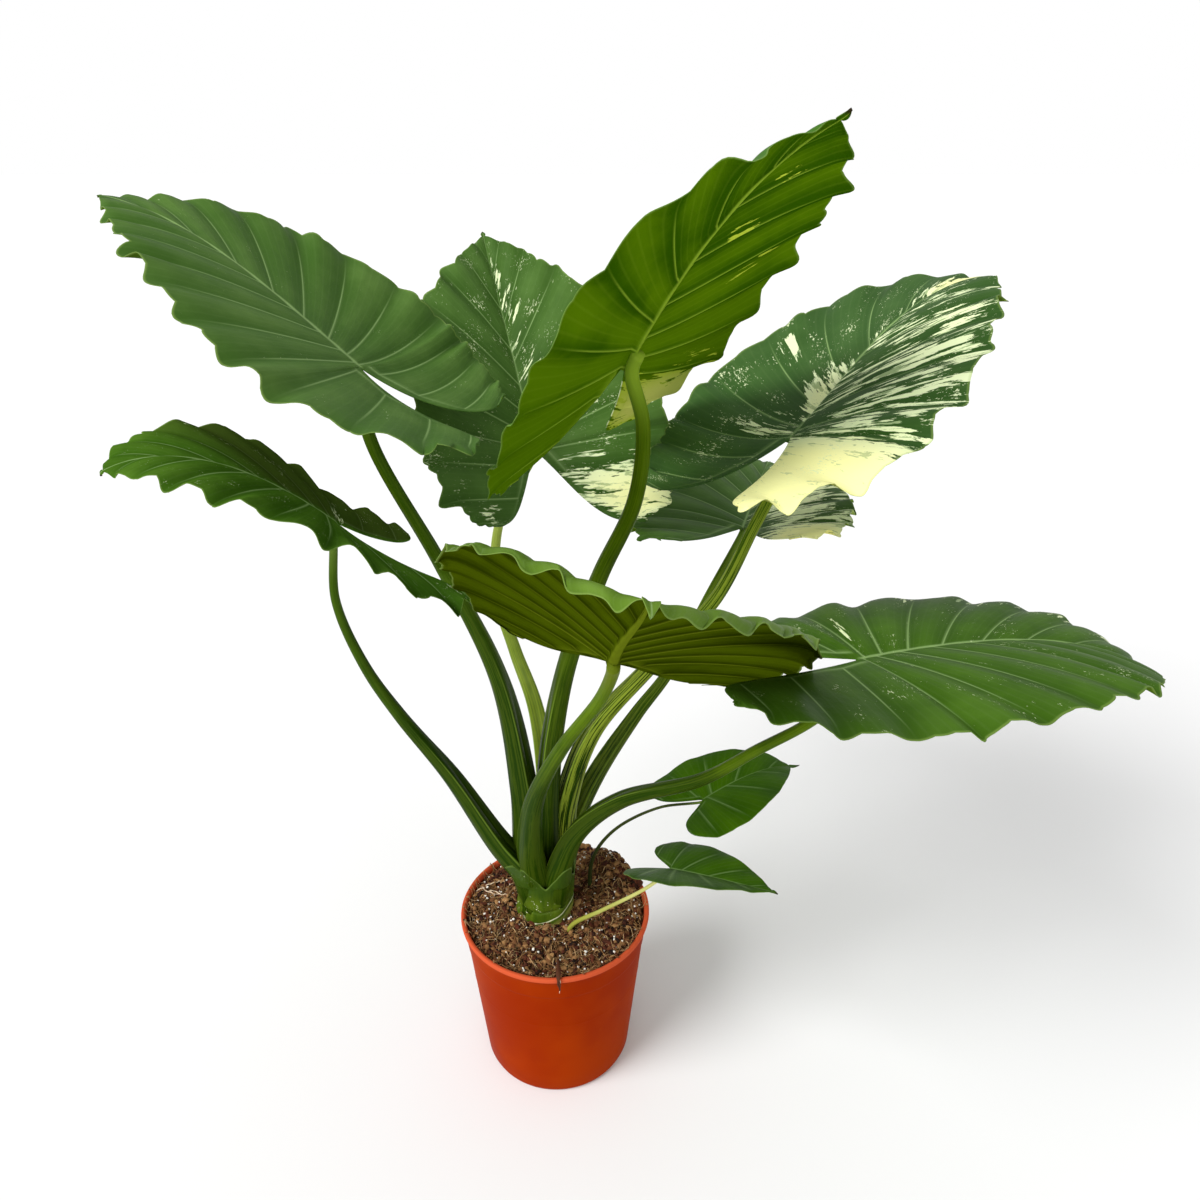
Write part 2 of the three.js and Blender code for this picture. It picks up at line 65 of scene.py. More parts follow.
def linear(red, green, blue):
    # 0 to 255 display values to linear light: the curve of the sRGB standard
    steps = [c / 255 for c in (red, green, blue)]
    return tuple(c / 12.92 if c <= 0.04045 else ((c + 0.055) / 1.055) ** 2.4 for c in steps) + (1,)


addCamera()
print("camera placed")


# node helpers

def feed(tree, socket, value):
    # links a node's output, or else sets the plain value
    if isinstance(value, bpy.types.NodeSocket):
        tree.links.new(value, socket)
    else:
        socket.default_value = value


def calc(tree, operation, *values):
    node = tree.nodes.new("ShaderNodeMath")
    node.operation = operation
    for socket, value in zip(node.inputs, values):
        feed(tree, socket, value)
    return node.outputs[0]


def ease(tree, value, low, high, start=0.0, end=1.0):
    # smooth step from start to end while value goes from low to high
    node = tree.nodes.new("ShaderNodeMapRange")
    node.interpolation_type = "SMOOTHSTEP"
    for socket, entry in zip(node.inputs[:5], (value, low, high, start, end)):
        feed(tree, socket, entry)
    return node.outputs[0]


def blendColor(tree, factor, first, second):
    # first where the factor is 0, second where it is 1
    node = tree.nodes.new("ShaderNodeMix")
    node.data_type = "RGBA"
    feed(tree, node.inputs[0], factor)
    feed(tree, node.inputs[6], first)
    feed(tree, node.inputs[7], second)
    return node.outputs[2]


def stretch(tree, vector, sizes, shift=(0, 0, 0)):
    # the vector times the sizes, then moved by the shift
    node = tree.nodes.new("ShaderNodeMapping")
    feed(tree, node.inputs["Vector"], vector)
    node.inputs["Scale"].default_value = sizes
    node.inputs["Location"].default_value = shift
    return node.outputs[0]


def noiseOf(tree, vector, scale, detail=3.0, roughness=0.55, distortion=0.0):
    node = tree.nodes.new("ShaderNodeTexNoise")
    feed(tree, node.inputs["Vector"], vector)
    node.inputs["Scale"].default_value = scale
    node.inputs["Detail"].default_value = detail
    node.inputs["Roughness"].default_value = roughness
    node.inputs["Distortion"].default_value = distortion
    return node.outputs[0]


def uvOf(tree, layer):
    node = tree.nodes.new("ShaderNodeUVMap")
    node.uv_map = layer
    return node.outputs[0]


def placeOf(tree):
    return tree.nodes.new("ShaderNodeTexCoord").outputs["Object"]


def valueOf(tree, name):
    node = tree.nodes.new("ShaderNodeAttribute")
    node.attribute_name = name
    return node.outputs["Fac"]


def apart(tree, vector):
    node = tree.nodes.new("ShaderNodeSeparateXYZ")
    feed(tree, node.inputs[0], vector)
    return node.outputs


def bumpOf(tree, height, strength, distance):
    node = tree.nodes.new("ShaderNodeBump")
    node.inputs["Strength"].default_value = strength
    node.inputs["Distance"].default_value = distance
    feed(tree, node.inputs["Height"], height)
    return node.outputs[0]


def newMaterial(name):
    # an empty material with one shader joined to its output
    made = bpy.data.materials.new(name)
    made.use_nodes = True
    tree = made.node_tree
    tree.nodes.clear()
    shader = tree.nodes.new("ShaderNodeBsdfPrincipled")
    output = tree.nodes.new("ShaderNodeOutputMaterial")
    tree.links.new(shader.outputs[0], output.inputs[0])
    return made, tree, shader


# mesh helpers

def addPiece(name, points, faces, materials, replaced=(), layers=None, values=None, indices=None,
             smooth=True):
    # points in millimetres, faces as rows of three or four corners, layers as uv per corner
    mesh = bpy.data.meshes.new(name)
    corners = faces.shape[1]
    mesh.vertices.add(len(points))
    mesh.vertices.foreach_set("co", (np.asarray(points) * mm).astype(np.float32).ravel())
    mesh.loops.add(faces.size)
    mesh.loops.foreach_set("vertex_index", faces.astype(np.int32).ravel())
    mesh.polygons.add(len(faces))
    mesh.polygons.foreach_set("loop_start", np.arange(0, faces.size, corners, dtype=np.int32))
    mesh.update(calc_edges=True)
    mesh.polygons.foreach_set("use_smooth", np.full(len(faces), smooth))
    if indices is not None:
        mesh.polygons.foreach_set("material_index", indices.astype(np.int32))
    for key, corner in (layers or {}).items():
        layer = mesh.uv_layers.new(name=key)
        layer.data.foreach_set("uv", corner.astype(np.float32).ravel())
    for key, value in (values or {}).items():
        attribute = mesh.attributes.new(key, "FLOAT", "POINT")
        attribute.data.foreach_set("value", value.astype(np.float32).ravel())
    for material in materials:
        mesh.materials.append(material)
    mesh.validate()
    piece = bpy.data.objects.new(name, mesh)
    bpy.context.scene.collection.objects.link(piece)
    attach(piece, "root")
    if replaced:
        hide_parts(*replaced)
    return piece


def gridFaces(rows, columns, wrap=False):
    # quads of a grid of rows by columns points, its last column joined to the first if wrap
    steps = columns if wrap else columns - 1
    row, column = np.meshgrid(np.arange(rows - 1), np.arange(steps), indexing="ij")
    after = (column + 1) % columns
    quads = [row * columns + column, row * columns + after,
             (row + 1) * columns + after, (row + 1) * columns + column]
    return np.stack(quads, axis=-1).reshape(-1, 4)


def closedTube(rows, sides):
    # triangles of a tube of rings, closed by two points that follow them: one at the first ring,
    # one at the last
    quads = gridFaces(rows, sides, True)
    last = rows * sides
    foot = last - sides
    ring = np.arange(sides)
    after = (ring + 1) % sides
    caps = [np.stack([0 * ring + last, after, ring], axis=1),
            np.stack([0 * ring + last + 1, foot + ring, foot + after], axis=1)]
    return np.concatenate([quads[:, [0, 1, 2]], quads[:, [0, 2, 3]], *caps])


def unit(vectors):
    # each vector over its length
    return vectors / np.maximum(np.linalg.norm(vectors, axis=-1, keepdims=True), 1e-9)


def fadeIn(value, low, high):
    # smooth step: 3x² - 2x³ of the value's share of the way from low to high
    share = np.clip((value - low) / (high - low), 0, 1)
    return share * share * (3 - 2 * share)


# leaves: shape

blades = {
    "sinusRow": 0.68, "widestRow": 1.05, "rowCrowding": 1.15, "ribCrowding": 1.7, "lobeCrowding": 1.35,
    "veinSag": 0.05, "lobeTipSpread": 0.3, "slowWaves": 2.3, "slowShare": 0.6,
    "thickness": 1.0, "edgeThickness": 0.5, "veinHeight": 1.3, "veinWidth": 1.0, "upperVein": 0.25,
    "quilt": 2.0, "lobeRibAcross": 0.08, "ribAtStalk": 0.75, "ribAtApex": 0.15,
    "points": 5.0, "pointPower": 2.4, "pointRows": (0.04, 0.32), "pointAcross": 0.8,
    "notches": 2.3, "notchPower": 0.7, "rollRows": 0.08,
    "across": (0, 0.01, 0.022, 0.036, 0.052, 0.066, 0.08, 0.094, 0.13, 0.19, 0.26, 0.34, 0.42, 0.5,
               0.58, 0.65, 0.71, 0.765, 0.81, 0.85, 0.885, 0.915, 0.94, 0.962, 0.98, 0.992, 1.0),
    "nearVein": (0, 0.011, 0.026), "fill": 18, "tipRows": 12, "scallop": 4.0, "lobeScallops": 4,
}

leaves = [
    {"name": "tall_middle", "blade": "young_blade", "stalk": "young_stalk",
     "at": (71, 22, 795), "azimuth": -52, "elevation": 53, "roll": 14,
     "arch": 11, "tipBend": 18, "lobeBend": -16, "twist": -11, "fold": (-16, -4), "droop": (-18, -6),
     "length": 276, "width": 292, "lobes": 142, "lobeShare": (1, 0.84),
     "waves": 9, "waveHeight": 3.6, "phase": 0.8,
     "apex": (0.95, 0.46), "tip": (11, 4.5, -20), "curl": (0.0, 1.0, 0.84, 3),
     "route": [(88, 21, 742), (82, 18, 672), (50, 16, 597), (18, 13, 506), (1, 10, 423), (-7, 8, 337),
               (-10, 8, 246)], "radii": (6.5, 9.5, 17)},
    {"name": "upper_left", "blade": "green_blade", "stalk": "stalk",
     "at": (-161, 30, 791), "azimuth": 160, "elevation": 37, "roll": 37,
     "arch": 2, "tipBend": 28, "lobeBend": -33, "twist": -9, "fold": (-23, 26), "droop": (5, -31),
     "length": 270, "width": 313, "lobes": 128, "sinus": (0.7, 0.7),
     "waves": 12, "waveHeight": 3.6, "phase": 1.6,
     "apex": (0.9, 0.4), "tip": (3, 3, 40), "curl": (0.0, 1.0, 0.84, 3.5),
     "route": [(-156, 30, 719), (-105, 34, 603), (-51, 20, 479), (-30, 6, 356), (-26, 4, 285),
               (-24, 4, 246)], "radii": (6.5, 8.6, 21)},
    {"name": "upper_right", "blade": "cream_blade", "stalk": "stalk",
     "at": (228, 55, 720), "azimuth": 42, "elevation": 30, "roll": -49,
     "arch": -7, "tipBend": 46, "lobeBend": -26, "twist": 9, "fold": (28, -23), "droop": (-31, 14),
     "length": 303, "width": 321, "lobes": 122, "waves": 10, "waveHeight": 4.2, "phase": 0,
     "apex": (0.93, 0.46), "lobeWave": 0.7, "tip": (3, 3, 60), "curl": (0.0, 1.0, 0.84, 3),
     "route": [(201, 48, 640), (164, 40, 560), (99, 32, 486), (42, 25, 415), (13, 18, 330),
               (6, 14, 246)], "radii": (6, 8.2, 17)},
    {"name": "back", "blade": "cream_blade", "stalk": "pale_stalk",
     "at": (-21, 195, 665), "azimuth": 108, "elevation": 45, "roll": 5,
     "arch": 9, "tipBend": -9, "lobeBend": 2, "twist": -14, "fold": (30, 34), "droop": (11, 24),
     "length": 296, "width": 300, "lobes": 104, "waves": 10, "waveHeight": 4, "phase": 0,
     "apex": (0.86, 0.34), "tip": (8, 2, 20), "curl": (0.0, 1.0, 0.8, 3),
     "route": [(-59, 162, 597), (-63, 130, 527), (-43, 103, 468), (-20, 76, 408), (-7, 39, 314),
               (-8, 21, 246)], "radii": (4.6, 7, 15)},
    {"name": "low_back", "blade": "cream_blade", "stalk": "stalk",
     "at": (214, 209, 569), "azimuth": 75, "elevation": -1, "roll": -1,
     "arch": -3, "tipBend": 9, "lobeBend": -10, "twist": 6, "fold": (16, 23), "droop": (18, 18),
     "length": 283, "width": 249, "lobes": 110, "waves": 10, "waveHeight": 4, "phase": 1.6,
     "apex": (0.86, 0.34), "tip": (10, 2, 20), "curl": (0.0, 1.0, 0.8, 3),
     "route": [(178, 176, 506), (129, 130, 426), (91, 103, 385), (45, 66, 327), (20, 36, 285),
               (10, 22, 246)], "radii": (4.2, 7, 13)},
    {"name": "front", "blade": "young_blade", "stalk": "young_stalk",
     "at": (60, -149, 595), "azimuth": -87, "elevation": 39, "roll": -3,
     "arch": 16, "tipBend": -14, "lobeBend": 4, "twist": 0, "fold": (11, 37), "droop": (18, 15),
     "length": 326, "width": 318, "lobes": 134, "waves": 10, "waveHeight": 1.8, "phase": 0.8,
     "swing": 0.6, "spread": 0.07, "quilt": 0.55, "dry": 0.15,
     "apex": (0.9, 0.36), "tip": (14, 4, 90), "curl": (0.0, 0.6, 0.78, 12),
     "route": [(50, -128, 548), (14, -94, 473), (-13, -61, 393), (-22, -32, 308), (-20, -17, 262),
               (-19, -12, 246)], "radii": (5.6, 7.8, 16.5)},
    {"name": "low_right", "blade": "green_blade", "stalk": "young_stalk",
     "at": (262, -136, 591), "azimuth": 18, "elevation": 2, "roll": -8,
     "arch": 17, "tipBend": 19, "lobeBend": -13, "twist": 11, "fold": (8, 9), "droop": (26, 16),
     "length": 313, "width": 288, "lobes": 156, "sinus": (1.35, 0.45),
     "waves": 12, "waveHeight": 2.6, "phase": 0, "swing": 0.75,
     "apex": (0.94, 0.42), "tip": (9, 2.5, 30), "curl": (0.0, 1.0, 0.84, 2),
     "route": [(239, -114, 523), (192, -90, 470), (146, -69, 422), (71, -41, 377), (26, -26, 326),
               (7, -18, 274), (2, -13, 240)], "radii": (4.8, 6.8, 16)},
    {"name": "low_left", "blade": "green_blade", "stalk": "stalk",
     "at": (-198, 24, 648), "azimuth": 208, "elevation": 46, "roll": 5,
     "arch": 24, "tipBend": 42, "lobeBend": -22, "twist": -3, "fold": (-5, 11), "droop": (-4, 5),
     "length": 208, "width": 265, "lobes": 113, "waves": 10, "waveHeight": 3.8, "phase": 0,
     "apex": (0.92, 0.46), "tip": (5, 2.5, 70), "curl": (0.0, 1.0, 0.84, 3),
     "route": [(-206, 20, 568), (-184, 14, 499), (-153, 8, 445), (-105, 2, 375), (-57, -9, 294),
               (-33, -13, 262), (-26, -11, 240)], "radii": (4, 7, 16)},
    {"name": "small_upper", "blade": "green_blade", "stalk": "stalk", "small": True,
     "at": (160, 8, 339), "azimuth": 32, "elevation": 13, "roll": 2,
     "arch": 24, "tipBend": 14, "lobeBend": -16, "twist": 8, "fold": (17, 13), "droop": (27, 21),
     "length": 125, "width": 112, "lobes": 45, "waves": 5, "waveHeight": 0.6, "phase": 0,
     "apex": (0.86, 0.36), "tip": (17, 1.3, -30), "curl": (0.0, 1.0, 0.8, 1),
     "route": [(115, 14, 324), (73, 20, 295), (50, 24, 264), (40, 26, 235), (38, 27, 190)],
     "radii": (1.8, 2.2, 3.5)},
    {"name": "small_lower", "blade": "green_blade", "stalk": "pale_stalk", "small": True,
     "at": (122, -56, 301), "azimuth": -36, "elevation": 18, "roll": -2,
     "arch": 8, "tipBend": -5, "lobeBend": 3, "twist": 0, "fold": (14, 21), "droop": (19, 6),
     "length": 115, "width": 92, "lobes": 35, "waves": 5, "waveHeight": 0.5, "phase": 1,
     "apex": (0.84, 0.32), "tip": (7, 1.3, 10), "curl": (0.0, 1.0, 0.8, 1),
     "route": [(93, -49, 265), (51, -44, 233), (20, -37, 206), (11, -34, 180)],
     "radii": (2.4, 2.6, 3.5)},
]


def cubicAt(corners, share):
    # cubic Bezier curve: the four corners weighted by g³, 3g²m, 3gm², m³ with g = 1 - m
    rest = 1 - share
    weights = np.stack([rest ** 3, 3 * rest ** 2 * share, 3 * rest * share ** 2, share ** 3], axis=-1)
    return weights @ np.array(corners, float)


def lobeLength(leaf, side):
    # the lobes' length times that side's share
    return leaf["lobes"] * leaf.get("lobeShare", (1, 1))[0 if side > 0 else 1]


def outerMargin(leaf, m, side):
    # one Bezier from the apex (0) to the widest place (1), a second one on to the lobe's tip (2)
    length, half, lobes = leaf["length"], leaf["width"] / 2, lobeLength(leaf, side)
    shoulderReach, shoulder = leaf["apex"]
    front = cubicAt([(length, 2), (shoulderReach * length, shoulder * half), (0.45 * length, half),
                     (0.02 * length, half)], np.clip(m, 0, 1))
    lobeTip = (-lobes, blades["lobeTipSpread"] * leaf["width"])
    back = cubicAt([(0.02 * length, half), (-0.42 * lobes, half), (-lobes, 0.96 * half), lobeTip],
                   np.clip(m - 1, 0, 1))
    return np.where((m <= 1)[..., None], front, back)


def sinusMargin(leaf, m, side):
    # one Bezier from the stalk (0) to the lobe's tip (1)
    width, lobes = leaf["width"], lobeLength(leaf, side)
    lobeTip = (-lobes, blades["lobeTipSpread"] * width)
    gap = leaf.get("sinus", (1, 1))[0 if side > 0 else 1]
    return cubicAt([(0, 0), (-0.45 * lobes, 0.1 * gap * width), (-lobes, 0.16 * gap * width), lobeTip], m)


def flatLeaf(leaf, row, across, side):
    # row lines run from midrib or sinus to the margin as quadratic Beziers that sag back a little,
    # as the side veins do, and crowd together at the stalk
    sinusRow = blades["sinusRow"]
    share = np.where(row <= sinusRow, row / sinusRow, (row - sinusRow) / (1 - sinusRow))
    share = np.clip(share, 0, 1)
    midrib = np.stack([leaf["length"] * (1 - share) ** blades["ribCrowding"], 0 * share], axis=-1)
    onMidrib = (row <= sinusRow)[..., None]
    inner = np.where(onMidrib, midrib, sinusMargin(leaf, share ** blades["lobeCrowding"], side))
    m = np.where(row <= sinusRow, blades["widestRow"] * share ** blades["rowCrowding"],
                 blades["widestRow"] + (2 - blades["widestRow"]) * share)
    outer = outerMargin(leaf, m, side)
    middle = (inner + outer) / 2
    middle[..., 0] -= blades["veinSag"] * np.linalg.norm(outer - inner, axis=-1)
    a = across[..., None]
    return (1 - a) ** 2 * inner + 2 * (1 - a) * a * middle + a ** 2 * outer


def leafAxes(leaf):
    # forward from azimuth and elevation, left level beside it and then turned about it by the roll
    azimuth, elevation, roll = (math.radians(leaf[key]) for key in ("azimuth", "elevation", "roll"))
    forward = np.array([math.cos(azimuth) * math.cos(elevation), math.sin(azimuth) * math.cos(elevation),
                        math.sin(elevation)])
    level = np.array([-math.sin(azimuth), math.cos(azimuth), 0])
    lift = np.cross(forward, level)
    left = level * math.cos(roll) + lift * math.sin(roll)
    up = lift * math.cos(roll) - level * math.sin(roll)
    return forward, left, up


def midribPath(leaf):
    # the slope at each s, arch·x + tipBend·x³ downwards, summed over short steps of its angle
    def walk(s, slope):
        middle = (slope[1:] + slope[:-1]) / 2
        step = np.diff(s)
        along = np.concatenate([[0], np.cumsum(step * np.cos(middle))])
        up = np.concatenate([[0], np.cumsum(step * np.sin(middle))])
        return along, up

    tip, tipCurl = leaf["tip"][0], leaf["tip"][2]
    ahead = np.linspace(0, leaf["length"] + tip, 161)
    x = ahead / leaf["length"]
    curl = tipCurl * np.clip((ahead - leaf["length"]) / tip, 0, 1)
    slopeAhead = -np.radians(leaf["arch"] * x + leaf["tipBend"] * x ** 3 + curl)
    behind = np.linspace(0, -1.1 * leaf["lobes"], 61)
    slopeBehind = -np.radians(leaf["lobeBend"] * behind / leaf["lobes"])
    alongAhead, upAhead = walk(ahead, slopeAhead)
    alongBehind, upBehind = walk(behind, slopeBehind)
    join = [np.concatenate([second[::-1][:-1], first]) for first, second in (
        (ahead, behind), (alongAhead, alongBehind), (upAhead, upBehind), (slopeAhead, slopeBehind))]
    return join


def bendLeaf(leaf, s, t, side):
    # the midrib's path carries a flat place along, each half is an arc that starts at its fold
    # angle and turns down by its droop
    forward, left, up = leafAxes(leaf)
    reach, along, rise, slope = midribPath(leaf)
    alongAt, riseAt, angle = (np.interp(s, reach, track)[..., None] for track in (along, rise, slope))
    spineUp = up * np.cos(angle) - forward * np.sin(angle)
    twist = np.radians(leaf["twist"]) * np.clip(s / leaf["length"], -0.5, 1.1)[..., None]
    across = left * np.cos(twist) + spineUp * np.sin(twist)
    normal = spineUp * np.cos(twist) - left * np.sin(twist)
    half = 0 if side > 0 else 1
    fold = math.radians(leaf["fold"][half])
    curve = (math.radians(leaf["droop"][half]) or 1e-6) / (leaf["width"] / 2)
    out = ((math.sin(fold) - np.sin(fold - curve * t)) / curve)[..., None]
    lift = ((np.cos(fold - curve * t) - math.cos(fold)) / curve)[..., None]
    spine = np.array(leaf["at"], float) + alongAt * forward + riseAt * up
    return spine + side * out * across + lift * normal


def veinCount(leaf, row, side):
    # whole at each side vein: the veins lie where the margin's quick wave is lowest
    return leaf["waves"] * row + (leaf["phase"] + side) / tau + 0.25


def uneven(leaf, row, side):
    # a slow factor round 1 that makes some waves large and others small
    shift = leaf["phase"] + 2.2 * side
    return 1 + 0.35 * np.sin(tau * 3.7 * row + 3 * shift) + 0.3 * np.sin(tau * 6.3 * row + 5 * shift)


def waveAt(leaf, row, across, side):
    # one swing of the margin for each side vein over a slower one, growing from midrib to margin
    turn = tau * leaf["waves"] * row + leaf["phase"] + side
    quick = (np.sin(turn) + 0.22 * np.sin(2 * turn + 0.9)) * uneven(leaf, row, side)
    slow = np.sin(tau * blades["slowWaves"] * row + 2 * leaf["phase"] - side)
    fade = np.clip(np.minimum(4.5 * row, 8 * (1 - row)), 0, 1)
    fade = fade * (1 + leaf.get("lobeWave", 0) * fadeIn(row, blades["sinusRow"], 0.85))
    return leaf["waveHeight"] * fade * across ** 2 * (quick * across ** 1.5 + blades["slowShare"] * slow)


def leafRows(leaf):
    # even rows, and closer ones beside each side vein of both halves
    waves = leaf["waves"]
    small = leaf.get("small", False)
    rows = [np.linspace(0, 1, waves * (8 if small else blades["fill"]) + 1)]
    for side in (1, -1):
        firstVein = -veinCount(leaf, 0.0, side)
        veins = (firstVein + np.arange(-1, waves + 3)) / waves
        for gap in blades["nearVein"][:2 if small else None]:
            rows += [veins + gap / waves, veins - gap / waves]
    rows = np.sort(np.concatenate(rows))
    rows = rows[(rows > 0.002) & (rows < 0.996) & (abs(rows - blades["sinusRow"]) > 0.0015)]
    rows = rows[np.concatenate([[True], np.diff(rows) > 0.0007])]
    return np.sort(np.concatenate([rows, [0, blades["sinusRow"], 1]]))


def halfSheet(leaf, rows, side):
    # grid of one half, tip rows first: places, and for each place row, across, s, t, vein number.
    # The flat half is scaled out to its points, bent, and moved along its normal by wave, quilt and
    # the rim's roll
    acrossLine = np.array(blades["across"])
    row, across = np.meshgrid(rows, acrossLine, indexing="ij")
    flat = flatLeaf(leaf, row, across, side)
    tip, tipWidth, _ = leaf["tip"]
    share = np.linspace(1, 0, blades["tipRows"], endpoint=False)[:, None]
    tipHalf = 2 * (1 - share) + tipWidth * np.sin(math.pi * share ** 0.7) ** 0.8 * (1 - 0.3 * share)
    tipPlace = np.stack([leaf["length"] + tip * share + 0 * acrossLine, tipHalf * acrossLine], axis=-1)
    flat = np.concatenate([tipPlace, flat])
    tipRow = np.zeros((blades["tipRows"], len(acrossLine)))
    row = np.concatenate([tipRow, row])
    across = np.concatenate([tipRow + acrossLine, across])
    vein = veinCount(leaf, row, side)
    small = leaf.get("small", False)
    # small points where the side veins end, over rounded scallops with sharp notches between them
    swing = leaf.get("swing", 1)
    point = blades["points"] * (0.5 + 0.5 * np.cos(tau * vein)) ** blades["pointPower"]
    point = point * uneven(leaf, row, side)
    notch = blades["notches"] * vein + 0.35 * np.sin(tau * vein / 3.1 + 4 * side)
    notch += blades["lobeScallops"] * np.clip((row - blades["sinusRow"]) / (1 - blades["sinusRow"]), 0, 1)
    scallop = abs(np.sin(math.pi * notch)) ** blades["notchPower"] - 0.72
    point += blades["scallop"] * scallop * (0.75 + 0.35 * np.sin(tau * 5.3 * row + leaf["phase"] + side))
    point *= fadeIn(across, blades["pointAcross"], 1) * fadeIn(row, *blades["pointRows"])
    scale = 1 + (0.1 if small else swing) * point / (leaf["width"] / 2)
    flat = flat * scale[..., None]
    # a leaf that folds over is wider, so that its fold lies where the margin of others does
    wider = 1 + leaf.get("spread", 0) * fadeIn(row, 0.03, 0.3)
    s, t = flat[..., 0], flat[..., 1] * wider
    place = bendLeaf(leaf, s, t, side)
    half = bendLeaf(leaf, s, t + 1, side) - place
    ahead = bendLeaf(leaf, s + 1, t, side) - place
    normal = unit(np.cross(ahead, half) * side)
    bulge = 0.8 * abs(np.sin(math.pi * vein)) + 0.2 * np.sin(math.pi * vein) ** 2
    # rounded swellings between the side veins
    quilt = blades["quilt"] * leaf.get("quilt", 0.3 if small else 1) * bulge
    quilt = quilt * np.sin(math.pi * across ** 0.7)
    quilt *= fadeIn(row, 0.0, 0.1)
    # the rim turns down and in, by the curl's depth, between its first and last row
    first, last, start, depth = leaf["curl"]
    roll = fadeIn(across, start, 1.06) ** 1.3 * depth * fadeIn(row, first, first + blades["rollRows"])
    roll *= 1 - 0.8 * fadeIn(row, last, last + 0.1)
    roll *= 1 - 0.25 * swing + 0.3 * swing * np.sin(tau * vein + 2) * uneven(leaf, row, side)
    place = place + normal * (waveAt(leaf, row, across, side) + quilt - roll)[..., None]
    inward = 0.55 * roll * fadeIn(across, 0.9, 1)
    inward += (wider - 1) * 0.45 * leaf["width"] * fadeIn(across, 0.84, 1.0) ** 1.2
    place = place - unit(half) * inward[..., None]
    return place, row, across, s, t, vein


def veinRidges(leaf, place, row, across, vein):
    # ridge heights in 0 to 1: side veins as bell curves across each row line, the lobe's rib as
    # one along its inner edge
    reach = np.linalg.norm(np.gradient(place, axis=0), axis=-1)
    reach = reach / np.maximum(abs(np.gradient(row, axis=0)), 1e-5)
    apartMm = abs(vein - np.round(vein)) / leaf["waves"] * reach
    fade = fadeIn(row, 0.02, 0.12) * np.where(row > 0.985, 0, 1)
    inLobe = fadeIn(row, blades["sinusRow"] - 0.01, blades["sinusRow"] + 0.02)
    fade *= 1 - inLobe * (across < blades["lobeRibAcross"])
    width = blades["veinWidth"] * (1.15 - 0.5 * across)
    side = np.exp(-(apartMm / width) ** 2) * (1 - across) ** 0.55 * fade
    line = np.exp(-(apartMm / (0.95 - 0.45 * across)) ** 2) * fadeIn(1 - across, 0.02, 0.45) * fade
    lobeFade = inLobe * fadeIn(1 - row, 0.01, 0.3)
    lobeRib = np.exp(-((across - blades["lobeRibAcross"]) / 0.03) ** 2) * lobeFade
    lobeLine = np.exp(-((across - blades["lobeRibAcross"]) / 0.014) ** 2) * lobeFade
    return side, lobeRib, np.maximum(line, 0.8 * lobeLine)


def weld(points, faces):
    # merges points closer than a hundredth of a millimetre and drops the faces that close up
    key = np.round(points * 100).astype(np.int64)
    _, first, inverse = np.unique(key, axis=0, return_index=True, return_inverse=True)
    faces = inverse.ravel()[faces]
    distinct = (faces[:, 0] != faces[:, 1]) & (faces[:, 1] != faces[:, 2]) & (faces[:, 0] != faces[:, 2])
    return first, faces, distinct


def vertexNormals(points, triangles):
    # each triangle's area vector summed at its corners
    a, b, c = (points[triangles[:, i]] for i in range(3))
    area = np.cross(b - a, c - a)
    normals = np.zeros_like(points)
    for i in range(3):
        np.add.at(normals, triangles[:, i], area)
    return unit(normals)


def openEdges(triangles):
    # directed edges that no triangle runs through the other way
    edges = np.concatenate([triangles[:, [0, 1]], triangles[:, [1, 2]], triangles[:, [2, 0]]])
    size = int(triangles.max()) + 1
    forward = edges[:, 0].astype(np.int64) * size + edges[:, 1]
    backward = edges[:, 1].astype(np.int64) * size + edges[:, 0]
    return edges[~np.isin(forward, backward)]


def closedSheet(triangles, size):
    # the sheet, its underside turned over with its corners numbered on from size, and the walls
    # that join their open edges
    rim = openEdges(triangles)
    walls = np.concatenate([np.stack([rim[:, 0], rim[:, 0] + size, rim[:, 1] + size], axis=1),
                            np.stack([rim[:, 0], rim[:, 1] + size, rim[:, 1]], axis=1)])
    return np.concatenate([triangles, triangles[:, ::-1] + size, walls]), walls


